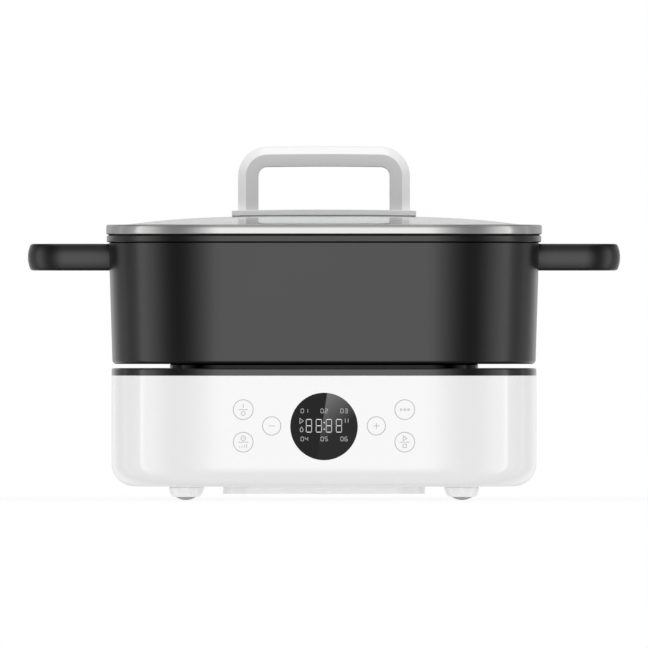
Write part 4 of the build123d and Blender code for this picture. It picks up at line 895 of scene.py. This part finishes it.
class HOTPOT_OT_loops(bpy.types.Operator):
    """Build the two moulded side loops"""

    bl_idname = "hotpot.loops"
    bl_label = "Side loops"

    def execute(self, context):
        half_bar = mm(LOOP_BAR) / 2
        half_thick = mm(LOOP_THICKNESS) / 2
        edge = half_bar - mm(LOOP_CROWN)
        ridge = LOOP_RIDGE * half_thick
        rounds = mm(*LOOP_ROUNDS)
        # tall rounded section whose outer face is crowned
        section = rounded_section(
            [(-half_bar, -half_thick), (edge, -half_thick), (half_bar, -ridge), (half_bar, ridge),
             (edge, half_thick), (-half_bar, half_thick)],
            rounds + rounds[::-1], 7)
        for node, side in (("handle_left", -1), ("handle_right", 1)):
            low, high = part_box(node)
            tip = max(abs(low[0]), abs(high[0]))
            root = min(abs(low[0]), abs(high[0]))
            level = (low[2] + high[2]) / 2
            line = tip - half_bar
            arm = high[1] - half_bar
            radius = mm(LOOP_CORNER) - half_bar
            middle = (root + line - radius) / 2
            path = [(root, -arm), (middle, -arm)]
            path += bend((line - radius, -arm + radius), radius, -90, 0)
            path += [(line, 0.0)]
            path += bend((line - radius, arm - radius), radius, 0, 90)
            path += [(middle, arm), (root, arm)]
            points = [Vector((side * x, side * y, level)) for x, y in path]
            builder = swept_path(points, Vector((0, 0, 1)), section)
            object_from(f"side_loop_{node.removeprefix('handle_')}", builder, moulded_phenolic(), "pot",
                        "loop_black", 50.0, node)
        return {"FINISHED"}


# ------------------------------------------------------------------ lid
RIM_SHEET = 0.8
RIM_ROLL = 0.5  # top edge
RIM_FACET = 1.25  # height of the leaning facet below it
RIM_LEAN = 0.45
RIM_HEM = 0.35  # lower edge
RIM_TURN = 8.6  # width of the part that turns in under the glass
RIM_LIP = 4.2  # width of the part over the edge of the glass
RIM_CURL = 0.4  # how far the end of that lip rounds back
RIM_CURL_DROP = 0.3
RIM_SKIRT = 7.0  # height of the ring that goes down into the pot's mouth
RIM_CORNER = 81.8
GLASS_INSET = 1.55  # from the rim's outside to the edge of the glass
GLASS_THICKNESS = 3.4
GLASS_UNDER = 0.9  # inset of its lower face
GLASS_LAND = 0.1  # of its lower edge over its seat
GLASS_BREAK = 0.5  # ground off that edge
GLASS_RISE = 8.2
GLASS_POWER = 3.2  # how late the dome falls to its edge
GLASS_RINGS = 26


class HOTPOT_OT_rim(bpy.types.Operator):
    """Build the rolled steel rim"""

    bl_idname = "hotpot.rim"
    bl_label = "Steel rim"

    def execute(self, context):
        low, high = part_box("lid_rim")
        half, top = high[0] / MM, high[2] / MM
        foot = low[2] / MM + RIM_SKIRT
        inner = half - RIM_TURN
        band = half - RIM_SHEET
        section = [(inner, foot - RIM_SKIRT), (inner + RIM_SHEET, foot - RIM_SKIRT)]
        section += [(inner + RIM_SHEET, foot)]
        section += arc(half - RIM_HEM, foot + RIM_HEM, RIM_HEM, -90, 0, 3)
        section += [(half, top - RIM_FACET)]
        section += arc(half - RIM_LEAN - RIM_ROLL, top - RIM_ROLL, RIM_ROLL, 20, 90, 4)
        section += [(half - RIM_LIP + RIM_CURL, top - RIM_CURL_DROP), (half - RIM_LIP, top - RIM_SHEET)]
        section += [(half - RIM_LIP + RIM_CURL / 2, top - RIM_SHEET - RIM_CURL_DROP)]
        section += [(band - RIM_LEAN, top - RIM_SHEET)]
        section += [(band, top - RIM_FACET), (band, foot + RIM_SHEET), (inner, foot + RIM_SHEET)]
        offset = mm(half) - mm(RIM_CORNER)
        builder = swept_square([mm(a, b) for a, b in section], lambda h: h - offset, closed=True)
        object_from("rolled_rim", builder, polished_stainless(), "lid", "rim_steel", 40.0, "lid_rim")
        finish_nodes(polished_stainless(), "vent_eyelet")
        return {"FINISHED"}


class HOTPOT_OT_glass(bpy.types.Operator):
    """Build the domed glass"""

    bl_idname = "hotpot.glass"
    bl_label = "Glass dome"

    def execute(self, context):
        low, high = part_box("lid_glass")
        half, apex, foot = high[0], high[2], low[2]
        share_corner = (mm(RIM_CORNER) - mm(GLASS_INSET)) / half
        shares = [math.sin(math.radians(90 * step / GLASS_RINGS)) for step in range(1, GLASS_RINGS + 1)]

        def face(drop, inset):
            return [((half - inset) * share, apex - drop - mm(GLASS_RISE) * share**GLASS_POWER)
                    for share in shares]

        under = face(mm(GLASS_THICKNESS), mm(GLASS_UNDER))
        over = face(0.0, 0.0)
        # ground edge between the two faces
        ground = mm(GLASS_LAND + GLASS_BREAK)
        edge = [(half - mm(GLASS_BREAK), foot + mm(GLASS_LAND)), (half, foot + ground)]
        edge += [(half, over[-1][1] - ground)]
        section = under + edge + over[::-1]
        builder = swept_square(section, lambda h: h * share_corner, closed=False)
        object_from("glass_dome", builder, tempered_glass(), "lid", "lid_glass", 50.0, "lid_glass")
        return {"FINISHED"}


EDGE_SOFT = 0.35  # round of sharp moulded edges
HANDLE_BAR = 14.3
HANDLE_BEVEL = 5.6
HANDLE_BEVEL_DEPTH = 8.0
HANDLE_BEND = 13.4
HANDLE_CROWN = 0.6  # fall of the bar towards its bends
HANDLE_CUTS = 12
HANDLE_ROUNDS = (0.8, EDGE_SOFT, 1.5)  # of the section's inner corners, bevels and outer face
PLATE_CROWN = 0.8
PLATE_CORNER = 5.3  # cut off each corner
# the band under the plate is grey rubber, put there as painted shadow where the plate meets the glass
PLATE_GAP = 0.5  # height and inset of the gasket under the plate
PLATE_CUTS = 24


class HOTPOT_OT_handle(bpy.types.Operator):
    """Build the bevelled lid handle and its plate"""

    bl_idname = "hotpot.handle"
    bl_label = "Lid handle"

    def execute(self, context):
        self.build_bar()
        self.build_plate()
        return {"FINISHED"}

    def build_bar(self):
        """A U-shaped bar: a grey core, square inside, under a white shell bevelled on both outer edges."""
        low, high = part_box("lid_handle")
        half_bar = mm(HANDLE_BAR) / 2
        leg = high[0] - half_bar
        line = high[2] - half_bar
        depth = high[1]
        radius = mm(HANDLE_BEND)
        bevel = half_bar - mm(HANDLE_BEVEL)
        flat = depth - mm(HANDLE_BEVEL_DEPTH)
        rounds = mm(*HANDLE_ROUNDS)
        section = rounded_section(
            [(-half_bar, -depth), (bevel, -depth), (half_bar, -flat), (half_bar, flat), (bevel, depth),
             (-half_bar, depth)],
            rounds + rounds[::-1], 3)
        crown = mm(HANDLE_CROWN)
        bend_level = line - radius - crown / 2
        middle = (low[2] + line - radius) / 2
        path = [(-leg, low[2]), (-leg, middle)]
        path += bend((-leg + radius, bend_level), radius, 180, 91)
        for step in range(1, HANDLE_CUTS):
            x = (-leg + radius) * (1 - 2 * step / HANDLE_CUTS)
            path.append((x, line - crown * (x / leg) ** 2))
        path += bend((leg - radius, bend_level), radius, 89, 0)
        path += [(leg, middle), (leg, low[2])]
        points = [Vector((x, 0, z)) for x, z in path]
        builder = swept_path(points, Vector((0, 1, 0)), section)
        builder.verts.index_update()
        for face in builder.faces:
            reach = sum(section[vertex.index % len(section)][0] for vertex in face.verts) / len(face.verts)
            face.material_index = int(reach > bevel)
        shots = (moulded_grey_core(), abs_white_painted_fill())
        object_from("lid_grip", builder, shots, "lid", "handle_grey", 25.0, "lid_handle")

    def build_plate(self):
        """A slim plate with cut corners and an arched top, whose underside sits on the curve of the glass."""
        low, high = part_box("handle_plate")
        glass_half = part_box("lid_glass")[1][0]
        half_x, half_y = high[0], high[1]
        cut = mm(PLATE_CORNER)
        soft = mm(EDGE_SOFT)
        gap = mm(PLATE_GAP)
        builder = bmesh.new()
        rings = []
        # band of painted shadow, underside and edge, at their lift over the glass, then the edge and face of
        # the top
        levels = ((0.0, gap), (gap, gap), (gap, soft), (gap + soft, 0.0), (None, 0.0), (None, soft))
        for lift, inset in levels:
            hx, hy = half_x - inset, half_y - inset
            outline = []
            corners = [(hx - cut, -hy), (hx, -hy + cut), (hx, hy - cut), (hx - cut, hy), (-hx + cut, hy),
                       (-hx, hy - cut), (-hx, -hy + cut), (-hx + cut, -hy)]
            for index, corner in enumerate(corners):
                following = corners[(index + 1) % 8]
                cuts = PLATE_CUTS if abs(following[0] - corner[0]) > cut * 2 else 1
                for step in range(cuts):
                    x = corner[0] + (following[0] - corner[0]) * step / cuts
                    y = corner[1] + (following[1] - corner[1]) * step / cuts
                    if lift is None:
                        z = high[2] - mm(PLATE_CROWN) * (x / half_x) ** 2 - (soft if inset == 0.0 else 0.0)
                    else:
                        share = max(abs(x), abs(y)) / glass_half
                        z = low[2] - mm(GLASS_RISE) * share**GLASS_POWER + lift
                    outline.append((x, y, z))
            rings.append(outline)
        join_rings(builder, rings, closed=False)
        builder.verts.index_update()
        painted_shadow_band = 2 * len(rings[0])
        for face in builder.faces:
            face.material_index = int(max(vertex.index for vertex in face.verts) < painted_shadow_band)
        bmesh.ops.triangulate(builder, faces=[f for f in builder.faces if len(f.verts) > 4])
        layers = (satin_grey_painted_fill(), cast_rubber_grey())
        object_from("grip_plate", builder, layers, "lid", "handle_grey", 25.0, "handle_plate")


# ------------------------------------------------------------------ stage
# studio round the object: angle from the camera's side in degrees, and brightness near eye level
STUDIO_LEVELS = (
    (0, 1.6), (11, 1.25), (17, 0.9), (22, 0.68), (28, 0.42), (33, 0.26), (40, 0.08), (49, 0.03),
    (57, 0.1), (65, 0.34), (74, 0.72), (82, 0.95), (88, 1.0), (91, 1.4), (95, 1.5), (96, 0.5),
    (100, 0.36), (108, 0.26), (117, 0.24), (121, 0.5), (124, 0.42), (128, 0.32), (134, 0.34),
    (140, 0.46), (150, 0.78), (160, 0.95), (168, 0.85), (180, 0.68),
)
# the same above and below eye level: plain level, part of the ring's own level, and the heights of the
# unit direction between which they take over
STUDIO_TIERS = ((0.0, 0.2, 0.28, 0.42), (1.1, 0.0, 0.85, 0.95), (0.08, 0.0, -0.25, -0.85))
FLOOR_GAP = 0.02  # under the foot pads


class HOTPOT_OT_stage(bpy.types.Operator):
    """Set the floor, the studio world and the camera"""

    bl_idname = "hotpot.stage"
    bl_label = "Floor, light and camera"

    def execute(self, context):
        stage = settings().stage
        self.lay_floor(stage)
        self.light_world(context.scene)
        self.place_camera(context.scene, stage)
        context.scene.view_settings.view_transform = "Standard"
        return {"FINISHED"}

    def lay_floor(self, stage):
        """A round pale floor just under the foot pads, lit from beneath so that shadows stay light."""
        builder = bmesh.new()
        outline = circle(0, 0, stage.floor_radius / MM, 96)
        builder.faces.new([builder.verts.new(mm(x, y, -FLOOR_GAP)) for x, y in outline])
        mesh = bpy.data.meshes.new("studio_floor")
        builder.to_mesh(mesh)
        builder.free()
        floor = bpy.data.objects.new("studio_floor", mesh)
        sheet = surface("backlit_acrylic_floor", stage.floor, grain_mm=20.0, bump_mm=0.01,
                        roughness=0.9, spread=0.05, shift=0.004,
                        **{"Specular IOR Level": 0.0, "Emission Color": (1, 1, 1, 1),
                           "Emission Strength": stage.floor_glow})
        # reflections look through the floor to the studio below
        tree = sheet.node_tree
        rays = add_node(tree, "ShaderNodeLightPath")
        clear = add_node(tree, "ShaderNodeBsdfTransparent")
        choice = add_node(tree, "ShaderNodeMixShader",
                          {0: rays.outputs["Is Glossy Ray"], 1: find_node(tree, "BSDF_PRINCIPLED").outputs[0],
                           2: clear.outputs[0]})
        tree.links.new(choice.outputs[0], find_node(tree, "OUTPUT_MATERIAL").inputs["Surface"])
        mesh.materials.append(sheet)
        bpy.context.scene.collection.objects.link(floor)

    def light_world(self, scene):
        """Plain white all round, and a studio of soft boxes that shows in reflections only."""
        world = bpy.data.worlds.new("studio_world")
        world.use_nodes = True
        world.cycles.sampling_method = "NONE"  # reflections and plain light see different skies
        scene.world = world
        tree = world.node_tree
        tree.nodes.clear()
        place = add_node(tree, "ShaderNodeTexCoord")
        axes = add_node(tree, "ShaderNodeSeparateXYZ", {"Vector": place.outputs["Generated"]})
        flat = add_node(tree, "ShaderNodeCombineXYZ", {"X": axes.outputs["X"], "Y": axes.outputs["Y"]})
        heading = add_node(tree, "ShaderNodeVectorMath", {0: flat.outputs[0]}, operation="NORMALIZE")
        toward = add_node(tree, "ShaderNodeSeparateXYZ", {"Vector": heading.outputs[0]})
        turn = add_node(tree, "ShaderNodeMapRange",
                        {"Value": toward.outputs["Y"], "From Min": 1.0, "From Max": -1.0, "To Min": 0.0,
                         "To Max": 1.0})
        ramp = add_node(tree, "ShaderNodeValToRGB", {"Fac": turn.outputs[0]})
        stops = ramp.color_ramp.elements
        while len(stops) > 1:
            stops.remove(stops[0])
        brightest = max(level for _, level in STUDIO_LEVELS)
        for index, (angle, level) in enumerate(reversed(STUDIO_LEVELS)):
            spot = (math.cos(math.radians(angle)) + 1) / 2
            stop = stops[0] if index == 0 else stops.new(spot)
            stop.position = spot
            stop.color = (*[level / brightest] * 3, 1.0)
        ring = add_node(tree, "ShaderNodeMath", {0: ramp.outputs["Color"], 1: brightest},
                        operation="MULTIPLY")
        whole = ring.outputs[0]
        for level, part, low, high in STUDIO_TIERS:
            share = add_node(tree, "ShaderNodeMapRange",
                             {"Value": axes.outputs["Z"], "From Min": low, "From Max": high},
                             interpolation_type="SMOOTHSTEP")
            tier = add_node(tree, "ShaderNodeMath", {0: ring.outputs[0], 1: part, 2: level},
                            operation="MULTIPLY_ADD")
            whole = add_node(tree, "ShaderNodeMix",
                             {"Factor": share.outputs[0], "A": whole, "B": tier.outputs[0]}).outputs[0]
        studio = add_node(tree, "ShaderNodeBackground", {"Color": (1, 1, 1, 1), "Strength": whole})
        white = add_node(tree, "ShaderNodeBackground", {"Color": (1, 1, 1, 1), "Strength": 1.0})
        rays = add_node(tree, "ShaderNodeLightPath")
        reflected = add_node(tree, "ShaderNodeMath",
                             {0: rays.outputs["Is Glossy Ray"], 1: rays.outputs["Is Transmission Ray"]},
                             operation="SUBTRACT", use_clamp=True)
        choice = add_node(tree, "ShaderNodeMixShader",
                          {"Fac": reflected.outputs[0], 1: white.outputs[0], 2: studio.outputs[0]})
        add_node(tree, "ShaderNodeOutputWorld", {"Surface": choice.outputs[0]})

    def place_camera(self, scene, stage):
        """A very long lens, level with the middle of the object."""
        camera = bpy.data.cameras.new("studio_camera")
        camera.lens = stage.lens
        camera.sensor_width = SENSOR_MM
        view_width = IMAGE_PIXELS * stage.pixel
        holder = bpy.data.objects.new("studio_camera", camera)
        holder.location = (0.0, -view_width * stage.lens / SENSOR_MM, stage.aim)
        holder.rotation_euler = (math.radians(90), 0.0, 0.0)
        scene.collection.objects.link(holder)
        scene.camera = holder


# ------------------------------------------------------------------ sidebar and registration
OPERATORS = (
    HOTPOT_OT_stage,
    HOTPOT_OT_housing,
    HOTPOT_OT_feet,
    HOTPOT_OT_panel,
    HOTPOT_OT_fittings,
    HOTPOT_OT_pot,
    HOTPOT_OT_loops,
    HOTPOT_OT_rim,
    HOTPOT_OT_glass,
    HOTPOT_OT_handle,
)


class HOTPOT_PT_sidebar(bpy.types.Panel):
    """Lists the steps that finish the hot pot"""

    bl_idname = "HOTPOT_PT_sidebar"
    bl_label = "Hot Pot"
    bl_space_type = "VIEW_3D"
    bl_region_type = "UI"
    bl_category = "Hot Pot"

    def draw(self, context):
        for operator in OPERATORS:
            self.layout.operator(operator.bl_idname)
        for group in (settings().housing, settings().panel, settings().pot, settings().lid, settings().stage):
            box = self.layout.box()
            for name in group.bl_rna.properties.keys():
                if name not in {"rna_type", "name"}:
                    box.prop(group, name)


CLASSES = (
    HousingSettings,
    PanelSettings,
    PotSettings,
    LidSettings,
    StageSettings,
    HotPotSettings,
    *OPERATORS,
    HOTPOT_PT_sidebar,
)


def register():
    """Register the classes and give scenes their hot pot settings."""
    for item in CLASSES:
        bpy.utils.register_class(item)
    bpy.types.Scene.hot_pot = PointerProperty(type=HotPotSettings)


def unregister():
    """Undo register."""
    del bpy.types.Scene.hot_pot
    for item in reversed(CLASSES):
        bpy.utils.unregister_class(item)


def main():
    """Register and run every step in order."""
    register()
    for operator in OPERATORS:
        group, name = operator.bl_idname.split(".")
        getattr(getattr(bpy.ops, group), name)()


if __name__ == "__main__":
    main()
